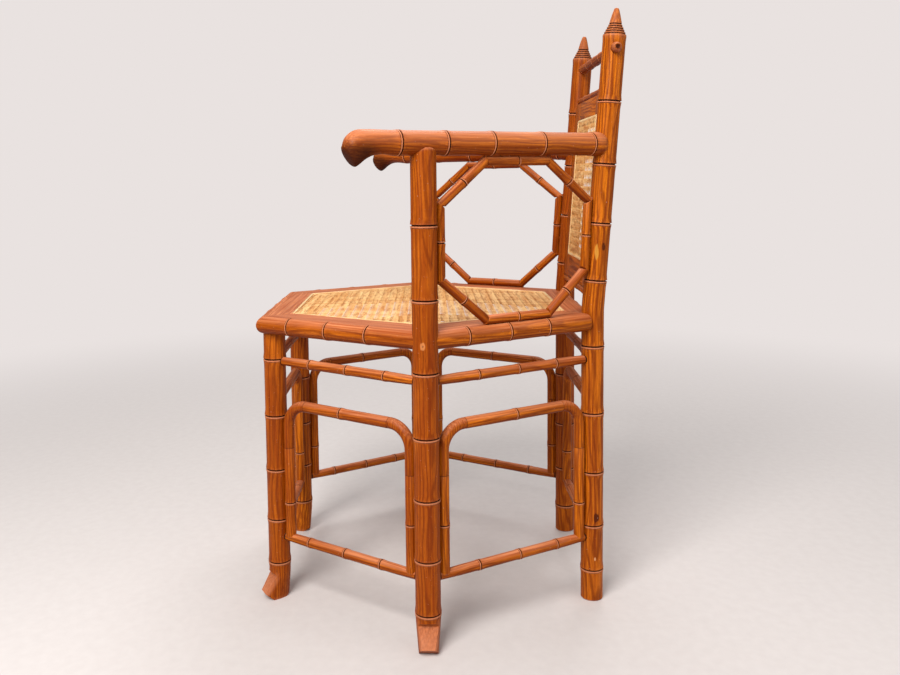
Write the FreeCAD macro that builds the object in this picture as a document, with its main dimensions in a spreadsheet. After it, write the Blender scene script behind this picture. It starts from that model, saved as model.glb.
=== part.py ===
# Corner chair with a six-sided seat, turned to look like bamboo, with a caned seat and back.
# Millimetres and degrees. +Z is up and the chair faces -Y. Left is the sitter's left, at +X.
import FreeCAD, Part
import math
import os

os.makedirs("parts", exist_ok=True)
doc = FreeCAD.newDocument("corner_chair")

# Driving sizes: name, value, what it is
SIZES = [
    ("chair_height", 914, "floor to the tip of a finial"),
    ("seat_corner_radius", 302, "centre of the seat to each of its six corners"),
    ("seat_top", 453.5, "floor to the top of the seat boards"),
    ("seat_thickness", 27, "seat boards, whose outer edge is a full half round"),
    ("seat_border", 56, "wood from the seat's edge to the spline, at the four slanted sides"),
    ("seat_front_border", 51, "the same at the front"),
    ("seat_back_border", 43, "the same at the back"),
    ("rail_end_trim", 7, "blunt end of a seat board short of the back corners"),
    ("cane_ledge", 10, "wood left under the edge of the cane, inside the spline"),
    ("cane_thickness", 1.5, "woven cane, taken as one sheet"),
    ("cane_recess", 2.4, "rebate that the cane lies in"),
    ("spline_width", 4.2, "reed strip that locks the cane"),
    ("spline_height", 5.6, "depth of the reed strip"),
    ("groove_depth", 6, "groove for the reed strip, from the wood's face"),
    ("front_leg_diameter", 34, "front legs"),
    ("mid_leg_diameter", 36, "mid legs, which carry the arms"),
    ("post_diameter", 34, "back posts"),
    ("front_leg_inset_x", 21, "front leg's axis inside the seat's corner, sideways"),
    ("front_leg_inset_y", 24.5, "front leg's axis inside the seat's corner, front to back"),
    ("mid_leg_inset", 17, "mid leg's axis inside the seat's corner"),
    ("post_inset_x", 18, "back post's axis inside the seat's corner, sideways"),
    ("post_inset_y", 3.5, "back post's axis inside the seat's corner, front to back"),
    ("bend_rise", 2.5, "seat's top to where the back posts start to lean"),
    ("post_rake", 4.3, "lean of the back posts"),
    ("finial_length", 42, "turned point on top of a back post"),
    ("finial_tip_diameter", 7, "rounded tip of the finial"),
    ("finial_cone_diameter", 19, "foot of the smooth cone"),
    ("finial_cone_length", 23.5, "smooth cone above the grooves"),
    ("foot_length", 54, "foot along its toe, at the floor, before it is carved"),
    ("foot_width", 28, "foot across, at the floor"),
    ("foot_forward", 13, "middle of the uncarved foot, in front of the leg's axis"),
    ("toe_reach", 28.5, "leg's axis to the tip of its carved toe"),
    ("toe_tip_height", 11, "floor to the tip of the toe"),
    ("toe_slope_top", 37, "floor to the top of the toe's flat slope"),
    ("toe_slope_inset", 6, "how far the slope cuts into the leg at its top"),
    ("toe_hollow_top", 44.5, "floor to where the hollow over the slope fades into the leg"),
    ("heel_height", 25, "rounded heel"),
    ("heel_inset", 10, "rounded heel, along the floor"),
    ("ring_swell", 0.8, "rise of a bamboo ring over the stick"),
    ("ring_reach", 8, "length of the swelling each side of a ring"),
    ("ring_groove_width", 2, "groove in the middle of a ring"),
    ("ring_groove_depth", 1.2, "groove in the middle of a ring, below the stick"),
    ("thin_ring_share", 0.6, "ring on a thin stick, as a share of one on a leg"),
    ("stretcher_diameter", 14.5, "upper and lower stretchers"),
    ("stretcher_end_diameter", 13, "stretchers where they meet the legs"),
    ("stretcher_taper", 45, "length of that taper"),
    ("upper_stretcher_drop", 44.5, "seat's underside to the axis of the upper stretchers"),
    ("lower_stretcher_height", 101, "floor to the axis of the lower stretchers"),
    ("arch_diameter", 16.5, "sticks of the arches"),
    ("arch_drop", 111.5, "seat's underside to the axis of an arch's top bar"),
    ("elbow_radius", 34, "bend of an arch's elbow, on its axis"),
    ("elbow_tail", 2, "straight end of the elbow, beside the top bar"),
    ("elbow_length", 69, "axis of the top bar to the joint of elbow and upright"),
    ("arch_foot_rise", 4, "foot of an upright, above the lower stretcher's axis"),
    ("fret_diameter", 13.5, "sticks of the octagon frets"),
    ("fret_corner_rise", 68.5, "seat's top to the fret's lower corners on the legs"),
    ("fret_corner_drop", 85, "arm's axis to the fret's upper corners on the legs"),
    ("fret_bar_start_share", 0.3275, "near end of the top and bottom bars, share of the way to the post"),
    ("fret_bar_end_share", 0.685, "far end of the top and bottom bars, share of the way to the post"),
    ("arm_diameter", 34, "arms"),
    ("arm_height", 711, "floor to the axis of the arms"),
    ("hand_start", 46, "mid leg's axis to where the arm starts to curl down"),
    ("saddle_lip", 6, "top of the mid leg below the arm's axis"),
    ("crest_drop", 61, "tip of a finial to the axis of the crest rail"),
    ("crest_diameter", 15.5, "crest rail"),
    ("crest_knob", 14, "crest rail's rounded end, outside the post"),
    ("head_rail_drop", 118, "tip of a finial to the axis of the thin rail over the panel"),
    ("head_rail_diameter", 12, "thin rail over the panel"),
    ("foot_rail_rise", 25.5, "seat's top to the axis of the rail under the panel"),
    ("foot_rail_diameter", 14, "rail under the panel"),
    ("panel_thickness", 16, "flat frame of the back panel"),
    ("stile_width", 32, "wood from the panel's side to its cane"),
    ("panel_top_width", 30, "wood over the back cane"),
    ("panel_bottom_width", 38, "wood under the back cane"),
    ("tenon_diameter", 9, "round tenons of stretchers and rails"),
    ("tenon_length", 10, "tenon inside the leg"),
    ("leg_tenon_diameter", 18, "tenon on top of a front or mid leg"),
    ("leg_tenon_length", 16, "front leg's tenon inside the seat's corner"),
    ("arm_tenon_diameter", 12, "arm's tenon in the back post"),
    ("spigot_diameter", 8, "spigots inside the arches' joints"),
    ("spigot_length", 10, "spigots inside the arches' joints"),
    ("dowel_diameter", 5, "hidden dowels"),
    ("dowel_length", 22, "hidden dowels, half in each piece"),
    ("mitre_dowel_inset", 52, "seat's corner to the dowel across its mitre"),
    ("joint_clearance", 0.1, "room round a tenon, dowel or shoulder"),
]
sheet = doc.addObject("Spreadsheet::Sheet", "Sizes")
for row, (alias, value, meaning) in enumerate(SIZES, start=1):
    sheet.set(f"A{row}", meaning)
    sheet.set(f"B{row}", str(value))
    sheet.setAlias(f"B{row}", alias)
doc.recompute()


def size(alias):
    """A driving size, read from the sheet."""
    return float(getattr(sheet, alias))


# Places of the bamboo rings. Below the seat: share of the height from the floor to the seat's
# underside. Above it: share of the height from the seat's top to the arm's axis.
FRONT_LEG_RINGS = [0.138, 0.302, 0.490, 0.692, 0.903]
MID_LEG_LOWER_RINGS = [0.1245, 0.3057, 0.5088, 0.7142, 0.9276]
MID_LEG_UPPER_RINGS = [0.168, 0.567]
POST_LOWER_RINGS = [0.1142, 0.2816, 0.479, 0.6978, 0.9433]
POST_UPPER_RINGS = [0.196, 0.5355, 0.8835]
# One more on each post, as a share of the height from the arm's axis to the tip
POST_TOP_RING = 0.317
# Along the other sticks: share of their length between the legs' axes, from their middle
UPPER_STRETCHER_RINGS = {"front": [-0.258, 0, 0.258], "front_side": [-0.236, 0.012, 0.258],
                         "back_side": [-0.210, 0.025, 0.255]}
LOWER_STRETCHER_RINGS = {"front": [-0.258, 0, 0.258], "front_side": [-0.264, -0.018, 0.218],
                         "back_side": [-0.213, 0.028, 0.261]}
SEAT_RAIL_RINGS = {"front": [-0.238, 0, 0.238], "front_side": [-0.304, -0.070, 0.167],
                   "back_side": [-0.253, -0.017, 0.212]}
ARCH_BAR_RING = {"front": 0, "front_side": -0.032, "back_side": 0.01}
ARCH_UPRIGHT_RING = {"front": 0.371, "mid": 0.408, "back": 0.373}
ARCH_DOWEL = 0.4385
# Along the arm: share of its length from the mid leg to the post, and one in front of the leg
ARM_RINGS = [0.105, 0.343, 0.615, 0.9035]
ARM_FRONT_RING = -38.5
# Along the rails of the back: share of half the distance between the posts
CREST_RINGS = [-0.79, -0.395, 0, 0.395, 0.79]
PANEL_RAIL_RINGS = [-0.45, 0, 0.45]

# Sizes that follow from the driving ones
clearance = size("joint_clearance")
swell = size("ring_swell")
seat_bottom = size("seat_top") - size("seat_thickness")
seat_bead = size("seat_thickness") / 2
seat_flat = size("seat_corner_radius") * math.cos(math.radians(30))
bend_height = size("seat_top") + size("bend_rise")
upper_stretcher_height = seat_bottom - size("upper_stretcher_drop")
arch_height = seat_bottom - size("arch_drop")
elbow_joint_height = arch_height - size("elbow_length")
crest_height = size("chair_height") - size("crest_drop")
head_rail_height = size("chair_height") - size("head_rail_drop")
foot_rail_height = size("seat_top") + size("foot_rail_rise")
rake = math.radians(size("post_rake"))
UP = FreeCAD.Vector(0, 0, 1)


def corner(index):
    """Corner of the seat, counted from the mid left one towards the back."""
    angle = math.radians(60 * index)
    return FreeCAD.Vector(math.cos(angle), math.sin(angle), 0) * size("seat_corner_radius")


def leg_axis(name):
    """Where a leg's axis meets the floor."""
    side = 1 if name.endswith("left") else -1
    half = size("seat_corner_radius") / 2
    if name.startswith("mid"):
        return FreeCAD.Vector(side * (size("seat_corner_radius") - size("mid_leg_inset")), 0, 0)
    if name.startswith("front"):
        return FreeCAD.Vector(side * (half - size("front_leg_inset_x")),
                              size("front_leg_inset_y") - seat_flat, 0)
    return FreeCAD.Vector(side * (half - size("post_inset_x")), seat_flat - size("post_inset_y"), 0)


def leg_radius(name):
    """Radius of the leg at this corner of the chair."""
    alias = {"mid": "mid_leg", "front": "front_leg", "back": "post"}[name.split("_")[0]]
    return size(alias + "_diameter") / 2


def on_leg(name, height):
    """Point on a leg's axis at a height, with the lean of the back posts."""
    point = leg_axis(name) + UP * height
    if name.startswith("back") and height > bend_height:
        point.y += math.tan(rake) * (height - bend_height)
    return point


def ring_heights(name):
    """Heights of a leg's rings above the floor."""
    above = size("arm_height") - size("seat_top")
    if name.startswith("front"):
        return [share * seat_bottom for share in FRONT_LEG_RINGS]
    if name.startswith("mid"):
        return ([share * seat_bottom for share in MID_LEG_LOWER_RINGS]
                + [size("seat_top") + share * above for share in MID_LEG_UPPER_RINGS])
    top = size("arm_height") + POST_TOP_RING * (size("chair_height") - size("arm_height"))
    return ([share * seat_bottom for share in POST_LOWER_RINGS]
            + [size("seat_top") + share * above for share in POST_UPPER_RINGS] + [top])


def along(start, end):
    """Placement that lays an upright piece on the line from start to end."""
    return FreeCAD.Placement(start, FreeCAD.Rotation(UP, end - start))


# Outlines of the turned sticks, as (radius, distance along the stick) pairs


def ring_outline(radius, place, share=1.0):
    """The swelling, groove and swelling again of one bamboo ring."""
    half_groove = size("ring_groove_width") * share / 2
    reach = size("ring_reach") * share
    top = radius + swell * share
    return [(radius, place - reach), (top, place - half_groove),
            (radius - size("ring_groove_depth") * share, place),
            (top, place + half_groove), (radius, place + reach)]


def turned(outline):
    """Solid turned from an outline that starts and ends at the axis' two ends."""
    points = [FreeCAD.Vector(0, 0, outline[0][1])]
    points += [FreeCAD.Vector(radius, 0, place) for radius, place in outline]
    points.append(FreeCAD.Vector(0, 0, outline[-1][1]))
    points.append(points[0])
    face = Part.Face(Part.makePolygon(points))
    return face.revolve(FreeCAD.Vector(0, 0, 0), UP, 360)


def stick_outline(length, radius, rings, share, end_radius=None):
    """Outline of a ringed stick, thinner at both ends if end_radius is given."""
    points = [(radius, 0)]
    if end_radius:
        points = [(end_radius, 0), (radius, size("stretcher_taper"))]
    for place in rings:
        points += ring_outline(radius, place, share)
    if end_radius:
        points.append((radius, length - size("stretcher_taper")))
    points.append((end_radius or radius, length))
    return points


# The document's objects, and what each piece is joined and cut with

blanks = {}
cutters = {}


def feature(name, shape, placement=FreeCAD.Placement()):
    """Object that holds a turned or lofted shape."""
    item = doc.addObject("Part::Feature", name)
    item.Shape = shape
    item.Placement = placement
    return item


def round_bar(name, radius, height, placement):
    """Plain cylinder whose radius and height are expressions on the sheet."""
    item = doc.addObject("Part::Cylinder", name)
    item.setExpression("Radius", radius)
    item.setExpression("Height", height)
    item.Placement = placement
    return item


def joined(name, items):
    """One solid of several objects."""
    item = doc.addObject("Part::MultiFuse", name)
    item.Shapes = items
    item.Refine = True
    return item


def grouped(name, items):
    """Several separate solids as one object."""
    item = doc.addObject("Part::Compound", name)
    item.Links = items
    return item


def carved(name, base, tools):
    """A base with its tools cut away."""
    item = doc.addObject("Part::Cut", name)
    item.Base = base
    item.Tool = tools[0] if len(tools) == 1 else grouped(name + "_tools", tools)
    return item


def cut_later(node, tool):
    """Remember a hole or shoulder for a piece that is finished further down."""
    cutters.setdefault(node, []).append(tool)


def leg_envelope(name, leg, low, high):
    """Stretch of a leg with its rings, grown by the clearance, to fit a shoulder round it."""
    radius = leg_radius(leg) + clearance
    reach = size("ring_reach") + 1
    for ring in ring_heights(leg):
        if abs(ring - low) < reach:
            low = ring - reach
        if abs(ring - high) < reach:
            high = ring + reach
    start = on_leg(leg, low)
    end = on_leg(leg, high)
    length = (end - start).Length
    lean = length / (high - low)
    inside = [(ring - low) * lean for ring in ring_heights(leg) if low < ring < high]
    return feature(name, turned(stick_outline(length, radius, inside, 1.0)), along(start, end))


def mortise(leg, name, inner, outer, depth="tenon_length", width="tenon_diameter"):
    """Hole in a leg for a round tenon that runs from outer to inner."""
    back_off = (outer - inner).normalize() * clearance * 2
    start = inner - back_off
    height = (outer - start).Length
    item = doc.addObject("Part::Cylinder", name)
    item.setExpression("Radius", f"Sizes.{width} / 2 + Sizes.joint_clearance")
    item.Height = height
    item.Placement = along(start, outer)
    cut_later(leg_node(leg), item)


def leg_node(name):
    """Node name of the leg at a corner."""
    place, side = name.split("_")
    return f"post_back_{side}" if place == "back" else f"leg_{place}_{side}"


dowels = []


def dowel(centre, direction, nodes):
    """Hidden dowel, half each side of centre, and its holes in the pieces that it joins."""
    name = f"dowel_{len(dowels) + 1:02d}"
    direction = FreeCAD.Vector(direction).normalize()
    start = centre - direction * (size("dowel_length") / 2)
    dowels.append(round_bar(name, "Sizes.dowel_diameter / 2", "Sizes.dowel_length",
                            along(start, centre)))
    hole = round_bar(name + "_hole", "Sizes.dowel_diameter / 2 + Sizes.joint_clearance",
                     "Sizes.dowel_length + 4 * Sizes.joint_clearance",
                     along(start - direction * (2 * clearance), centre))
    for node in nodes:
        cut_later(node, hole)


# Legs and posts


def toed_foot(radius):
    """Bottom of a leg: it spreads from the round leg into a long foot with a carved toe."""
    slope_top = FreeCAD.Vector(radius - size("toe_slope_inset"), 0, size("toe_slope_top"))
    tip = FreeCAD.Vector(size("toe_reach"), 0, size("toe_tip_height"))
    foot_top = size("toe_hollow_top")
    wide = 3 * radius
    round_top = Part.Wire(Part.makeCircle(radius, FreeCAD.Vector(0, 0, foot_top)))
    sole = Part.Ellipse(FreeCAD.Vector(size("foot_forward"), 0, 0), size("foot_length") / 2,
                        size("foot_width") / 2)
    foot = Part.makeLoft([Part.Wire(sole.toShape()), round_top], True, True)
    # Wood in front of the slope and above it, with a hollow that fades into the leg
    fade = Part.Arc(FreeCAD.Vector(radius + 0.02, 0, foot_top),
                    FreeCAD.Vector(radius - size("toe_slope_inset") * 0.6, 0,
                                   (foot_top + slope_top.z) / 2),
                    slope_top).toShape()
    far = FreeCAD.Vector(wide, 0, foot_top)
    outside = [FreeCAD.Vector(wide, 0, tip.z), far, FreeCAD.Vector(radius + 0.02, 0, foot_top)]
    edges = [fade, Part.makeLine(slope_top, tip), Part.makeLine(tip, outside[0]),
             Part.makeLine(outside[0], outside[1]), Part.makeLine(outside[1], outside[2])]
    across = FreeCAD.Vector(0, 2 * wide, 0)
    shift = FreeCAD.Vector(0, -wide, 0)
    slope_cut = Part.Face(Part.Wire(Part.__sortEdges__(edges))).extrude(across).translated(shift)
    # Underside of the toe, rising from the floor to the tip
    floor_front = FreeCAD.Vector(radius - 2, 0, 0)
    under = [floor_front, FreeCAD.Vector(wide, 0, 0), FreeCAD.Vector(wide, 0, tip.z), tip, floor_front]
    under_cut = Part.Face(Part.makePolygon(under)).extrude(across).translated(shift)
    # Rounded heel at the back
    heel_top = FreeCAD.Vector(-radius, 0, size("heel_height"))
    heel_floor = FreeCAD.Vector(size("heel_inset") - radius, 0, 0)
    bulge = FreeCAD.Vector(0.28 * size("heel_inset") - radius, 0, 0.28 * size("heel_height"))
    behind = FreeCAD.Vector(-wide, 0, 0)
    edges = [Part.Arc(heel_top, bulge, heel_floor).toShape(), Part.makeLine(heel_floor, behind),
             Part.makeLine(behind, FreeCAD.Vector(-wide, 0, heel_top.z)),
             Part.makeLine(FreeCAD.Vector(-wide, 0, heel_top.z), heel_top)]
    heel_cut = Part.Face(Part.Wire(Part.__sortEdges__(edges))).extrude(across).translated(shift)
    return foot.cut([slope_cut, under_cut, heel_cut]), foot_top


def outward(leg):
    """Rotation that turns a foot's toe away from the centre of the seat."""
    axis = leg_axis(leg)
    return FreeCAD.Rotation(UP, math.degrees(math.atan2(axis.y, axis.x)))


def front_leg(leg):
    """Leg under the seat, with a tenon into the corner of the seat frame."""
    radius = leg_radius(leg)
    foot, foot_top = toed_foot(radius)
    outline = [(radius, foot_top)]
    for ring in ring_heights(leg):
        outline += ring_outline(radius, ring)
    tenon = size("leg_tenon_diameter") / 2
    outline += [(radius, seat_bottom), (tenon, seat_bottom),
                (tenon, seat_bottom + size("leg_tenon_length"))]
    shape = foot.fuse(turned(outline)).removeSplitter()
    blanks[leg_node(leg)] = feature(leg_node(leg) + "_blank", shape,
                                    FreeCAD.Placement(leg_axis(leg), outward(leg)))


def mid_leg(leg):
    """Leg that runs up past the seat, coped round the arm and tenoned into it."""
    radius = leg_radius(leg)
    node = leg_node(leg)
    foot, foot_top = toed_foot(radius)
    top = size("arm_height") - size("saddle_lip")
    tenon = size("leg_tenon_diameter") / 2
    outline = [(radius, foot_top)]
    for ring in ring_heights(leg):
        outline += ring_outline(radius, ring)
    outline += [(radius, top), (tenon, top), (tenon, size("arm_height"))]
    shape = foot.fuse(turned(outline)).removeSplitter()
    shaft = feature(node + "_shaft", shape, FreeCAD.Placement(leg_axis(leg), outward(leg)))
    start, end = arm_line(leg.split("_")[1])
    reach = (end - start).normalize() * (2 * radius)
    hollow = round_bar(node + "_hollow", "Sizes.arm_diameter / 2 + Sizes.joint_clearance",
                       "2 * Sizes.mid_leg_diameter", along(start - reach, start))
    below = start - UP * size("arm_diameter")
    column = round_bar(node + "_column", "Sizes.leg_tenon_diameter / 2", "2 * Sizes.arm_diameter",
                       FreeCAD.Placement(below, FreeCAD.Rotation(UP, 45)))
    saddle = carved(node + "_saddle", hollow, [column])
    blanks[node] = carved(node + "_blank", shaft, [saddle])


def back_post(leg):
    """Post that is upright below the seat, leans above it and ends in a turned point."""
    radius = leg_radius(leg)
    node = leg_node(leg)
    bend = bend_height
    lower = turned(stick_outline(bend, radius, [ring for ring in ring_heights(leg) if ring < bend], 1.0))
    slope_length = (size("chair_height") - bend) / math.cos(rake)
    outline = [(radius, 0)]
    for ring in ring_heights(leg):
        if ring > bend:
            outline += ring_outline(radius, (ring - bend) / math.cos(rake))
    outline += finial_outline(radius, slope_length)
    upper = turned(outline)
    upper.Placement = along(UP * bend, on_leg(leg, size("chair_height")) - leg_axis(leg))
    knee = Part.makeSphere(radius, UP * bend)
    shape = lower.fuse([knee, upper]).removeSplitter()
    blanks[node] = feature(node + "_blank", shape, FreeCAD.Placement(leg_axis(leg), FreeCAD.Rotation()))


def finial_outline(radius, length):
    """Five stepped grooves on a flaring band, then a smooth cone with a rounded tip."""
    foot = length - size("finial_length")
    cone_foot = length - size("finial_cone_length")
    cone_radius = size("finial_cone_diameter") / 2
    tip_radius = size("finial_tip_diameter") / 2
    band_radius = radius + swell / 2
    steps = 5
    rise = (cone_foot - foot) / steps
    points = [(radius, foot - size("ring_reach")), (band_radius, foot)]
    for step in range(steps):
        low = band_radius + (cone_radius + 1 - band_radius) * step / (steps - 1)
        place = foot + rise * step
        points += [(low, place + rise * 0.55), (low - size("ring_groove_depth"), place + rise * 0.6),
                   (low - size("ring_groove_depth"), place + rise)]
    points = points[:-1]
    points += [(cone_radius, cone_foot), (tip_radius, length - tip_radius * 0.6),
               (tip_radius * 0.55, length - tip_radius * 0.1), (0.01, length)]
    return points


# Arms


def arm_line(side):
    """Points of the arm's axis over the mid leg and in the back post."""
    return on_leg(f"mid_{side}", size("arm_height")), on_leg(f"back_{side}", size("arm_height"))


# Sections of the carved hand: from the mid leg forwards and above the arm's axis, for the lower
# and the upper point of each section, and its half width. The last one is the flat end.
HAND_SECTIONS = [
    ((62, -15.4), (65, 17.4), 17),
    ((76, -17), (83, 17.6), 17.4),
    ((87, -22), (101, 16.2), 17.8),
    ((95, -28), (113.5, 7.5), 16.6),
    ((100.5, -31.5), (118, -3), 13.5),
]


def hand_shape(radius):
    """Front end of an arm, which curls down like a root; the arm's axis is X, up is Z."""
    share = radius / 17
    circle = Part.makeCircle(1)
    start = size("hand_start")
    sections = [((start, -radius), (start, radius), radius)]
    sections += [((low[0], low[1] * share), (high[0], high[1] * share), wide * share)
                 for low, high, wide in HAND_SECTIONS]
    wires = []
    for low, high, wide in sections:
        low = FreeCAD.Vector(-low[0], 0, low[1])
        high = FreeCAD.Vector(-high[0], 0, high[1])
        centre = (low + high) * 0.5
        tall = (high - low) * 0.5
        normal = FreeCAD.Vector(0, 1, 0).cross(tall).normalize()
        matrix = FreeCAD.Matrix(0, tall.x, normal.x, centre.x,
                                wide, tall.y, normal.y, centre.y,
                                0, tall.z, normal.z, centre.z,
                                0, 0, 0, 1)
        wires.append(Part.Wire(circle.transformGeometry(matrix).Edges))
    return Part.makeLoft(wires, True, False)


def arm(side):
    """Arm from its hand, over the mid leg, to its coped and tenoned end in the back post."""
    node = f"arm_{side}"
    radius = size("arm_diameter") / 2
    start, end = arm_line(side)
    length = (end - start).Length
    outline = [(radius, -size("hand_start"))]
    for ring in [ARM_FRONT_RING] + [share * length for share in ARM_RINGS]:
        outline += ring_outline(radius, ring, 0.9)
    outline.append((radius, length))
    bar = turned(outline)
    bar.rotate(FreeCAD.Vector(0, 0, 0), FreeCAD.Vector(0, 1, 0), 90)
    shape = bar.fuse(hand_shape(radius)).removeSplitter()
    heading = end - start
    turn = FreeCAD.Rotation(UP, math.degrees(math.atan2(heading.y, heading.x)))
    stick = feature(node + "_stick", shape, FreeCAD.Placement(start, turn))
    post = leg_envelope(node + "_post", f"back_{side}", size("arm_height") - size("arm_diameter"),
                        size("arm_height") + size("arm_diameter"))
    shouldered = carved(node + "_shouldered", stick, [post])
    direction = FreeCAD.Vector(heading).normalize()
    post_radius = leg_radius(f"back_{side}")
    root = end - direction * (post_radius + 8)
    inner = end - direction * (post_radius - size("tenon_length"))
    tenon = round_bar(node + "_tenon", "Sizes.arm_tenon_diameter / 2", "Sizes.tenon_length + 8",
                      along(root, inner))
    blanks[node] = joined(node + "_blank", [shouldered, tenon])
    outer = end - direction * (post_radius + 2)
    mortise(f"back_{side}", node + "_mortise", inner, outer, width="arm_tenon_diameter")
    # Hole for the mid leg's tenon
    low = start - UP * size("arm_diameter")
    hole = round_bar(node + "_leg_mortise", "Sizes.leg_tenon_diameter / 2 + Sizes.joint_clearance",
                     "Sizes.arm_diameter + 2 * Sizes.joint_clearance",
                     FreeCAD.Placement(low, FreeCAD.Rotation()))
    cut_later(node, hole)


# Sides of the chair, each with the legs that it joins, front one first
SIDES = {
    "front": ("front_left", "front_right", "front"),
    "front_left": ("front_left", "mid_left", "front_side"),
    "front_right": ("front_right", "mid_right", "front_side"),
    "back_left": ("mid_left", "back_left", "back_side"),
    "back_right": ("mid_right", "back_right", "back_side"),
    "back": ("back_left", "back_right", "front"),
}


def tenoned_stick(node, ends, heights, outline_of, tenon="tenon_diameter"):
    """Stick between two legs, with shoulders that fit round them and tenons inside them."""
    first, last = [on_leg(leg, height) for leg, height in zip(ends, heights)]
    length = (last - first).Length
    direction = (last - first).normalize()
    stick = feature(node + "_stick", turned(outline_of(length)), along(first, last))
    envelopes = []
    tenons = []
    for leg, point, heading, tag in ((ends[0], first, direction, "a"),
                                     (ends[1], last, direction * -1, "b")):
        radius = leg_radius(leg)
        envelopes.append(leg_envelope(f"{node}_leg_{tag}", leg, point.z - radius, point.z + radius))
        root = point + heading * (radius + 6)
        inner = point + heading * (radius - size("tenon_length"))
        tenons.append(round_bar(f"{node}_tenon_{tag}", f"Sizes.{tenon} / 2",
                                "Sizes.tenon_length + 6", along(root, inner)))
        mortise(leg, f"{node}_mortise_{tag}", inner, point + heading * (radius + 2), width=tenon)
    shouldered = carved(node + "_shouldered", stick, envelopes)
    blanks[node] = joined(node + "_blank", [shouldered] + tenons)


def stretcher(node, ends, height, rings):
    """Thin ringed stick, slimmer at its ends."""
    radius = size("stretcher_diameter") / 2
    end_radius = size("stretcher_end_diameter") / 2
    share = size("thin_ring_share")

    def outline_of(length):
        places = [length * (0.5 + ring) for ring in rings]
        return stick_outline(length, radius, places, share, end_radius)

    tenoned_stick(node, ends, [height, height], outline_of)


# Arches


def arch(name, ends, kind):
    """Top bar, two elbows and two uprights that stand on the lower stretcher beside the legs."""
    node = f"arch_{name}"
    radius = size("arch_diameter") / 2
    share = size("thin_ring_share")
    first, last = [leg_axis(leg) for leg in ends]
    length = (last - first).Length
    direction = (last - first).normalize()
    square = UP.cross(direction)
    beside = [leg_radius(leg) + swell + radius + clearance for leg in ends]
    bend = size("elbow_radius")
    tail = size("elbow_tail")
    height = arch_height
    joint = elbow_joint_height

    def point(distance, level):
        return first + direction * distance + UP * level

    bar_start = beside[0] + bend + tail
    bar_end = length - beside[1] - bend - tail
    bar_length = bar_end - bar_start
    ring = length * (0.5 + ARCH_BAR_RING[kind]) - bar_start
    bar = feature(f"{node}_bar_stick", turned(stick_outline(bar_length, radius, [ring], share)),
                  along(point(bar_start, height), point(bar_end, height)))
    bar_spigots = [
        round_bar(f"{node}_bar_spigot_{tag}", "Sizes.spigot_diameter / 2", "Sizes.spigot_length + 2",
                  along(point(place + 2 * way, height), point(place - way, height)))
        for tag, place, way in (("a", bar_start, 1), ("b", bar_end, -1))]
    solids = [joined(f"{node}_bar", [bar] + bar_spigots)]
    for tag, leg, distance, way in (("a", ends[0], beside[0], 1), ("b", ends[1], length - beside[1], -1)):
        # Elbow: a quarter bend with straight ends, bored for the spigots
        centre = point(distance + way * bend, height - bend)
        inward = direction * way
        turn = FreeCAD.Rotation(inward * -1, UP, inward.cross(UP) * -1, "XYZ")
        quarter = doc.addObject("Part::Torus", f"{node}_bend_{tag}")
        quarter.setExpression("Radius1", "Sizes.elbow_radius")
        quarter.setExpression("Radius2", "Sizes.arch_diameter / 2")
        quarter.Angle3 = 90
        quarter.Placement = FreeCAD.Placement(centre, turn)
        tail_bar = round_bar(f"{node}_tail_{tag}", "Sizes.arch_diameter / 2", "Sizes.elbow_tail",
                             along(point(distance + way * bend, height),
                                   point(distance + way * (bend + tail), height)))
        leg_bar = round_bar(f"{node}_drop_{tag}", "Sizes.arch_diameter / 2",
                            "Sizes.elbow_length - Sizes.elbow_radius",
                            along(point(distance, joint), point(distance, height)))
        whole = joined(f"{node}_elbow_{tag}_whole", [quarter, tail_bar, leg_bar])
        end_face = distance + way * (bend + tail)
        bores = [
            round_bar(f"{node}_bore_{tag}_bar", "Sizes.spigot_diameter / 2 + Sizes.joint_clearance",
                      "Sizes.spigot_length + 3 * Sizes.joint_clearance",
                      along(point(end_face, height), point(end_face - way, height))),
            round_bar(f"{node}_bore_{tag}_drop", "Sizes.spigot_diameter / 2 + Sizes.joint_clearance",
                      "Sizes.spigot_length + 3 * Sizes.joint_clearance",
                      along(point(distance, joint), point(distance, height)))]
        solids.append(carved(f"{node}_elbow_{tag}", whole, bores))
        # Upright: from the lower stretcher to the elbow
        foot = size("lower_stretcher_height") + size("arch_foot_rise")
        ring = ARCH_UPRIGHT_RING[leg.split("_")[0]] * seat_bottom - foot
        outline = stick_outline(joint - foot, radius, [ring], share)
        spigot = size("spigot_diameter") / 2
        outline += [(spigot, joint - foot), (spigot, joint - foot + size("spigot_length"))]
        stick = feature(f"{node}_upright_{tag}_stick", turned(outline),
                        along(point(distance, foot), point(distance, joint)))
        level = size("lower_stretcher_height")
        saddle = round_bar(f"{node}_saddle_{tag}",
                           "Sizes.stretcher_diameter / 2 + Sizes.joint_clearance",
                           "2 * Sizes.arch_diameter",
                           along(point(distance - 2 * radius, level), point(distance, level)))
        upright = f"{node}_upright_{tag}"
        blanks[upright] = carved(f"{upright}_blank", stick, [saddle])
        face = leg_axis(leg) + inward * (leg_radius(leg) + swell / 2)
        dowel(face + UP * (ARCH_DOWEL * seat_bottom), inward, [leg_node(leg), upright])
        solids.append(upright)
    return solids


# Octagon frets


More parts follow.
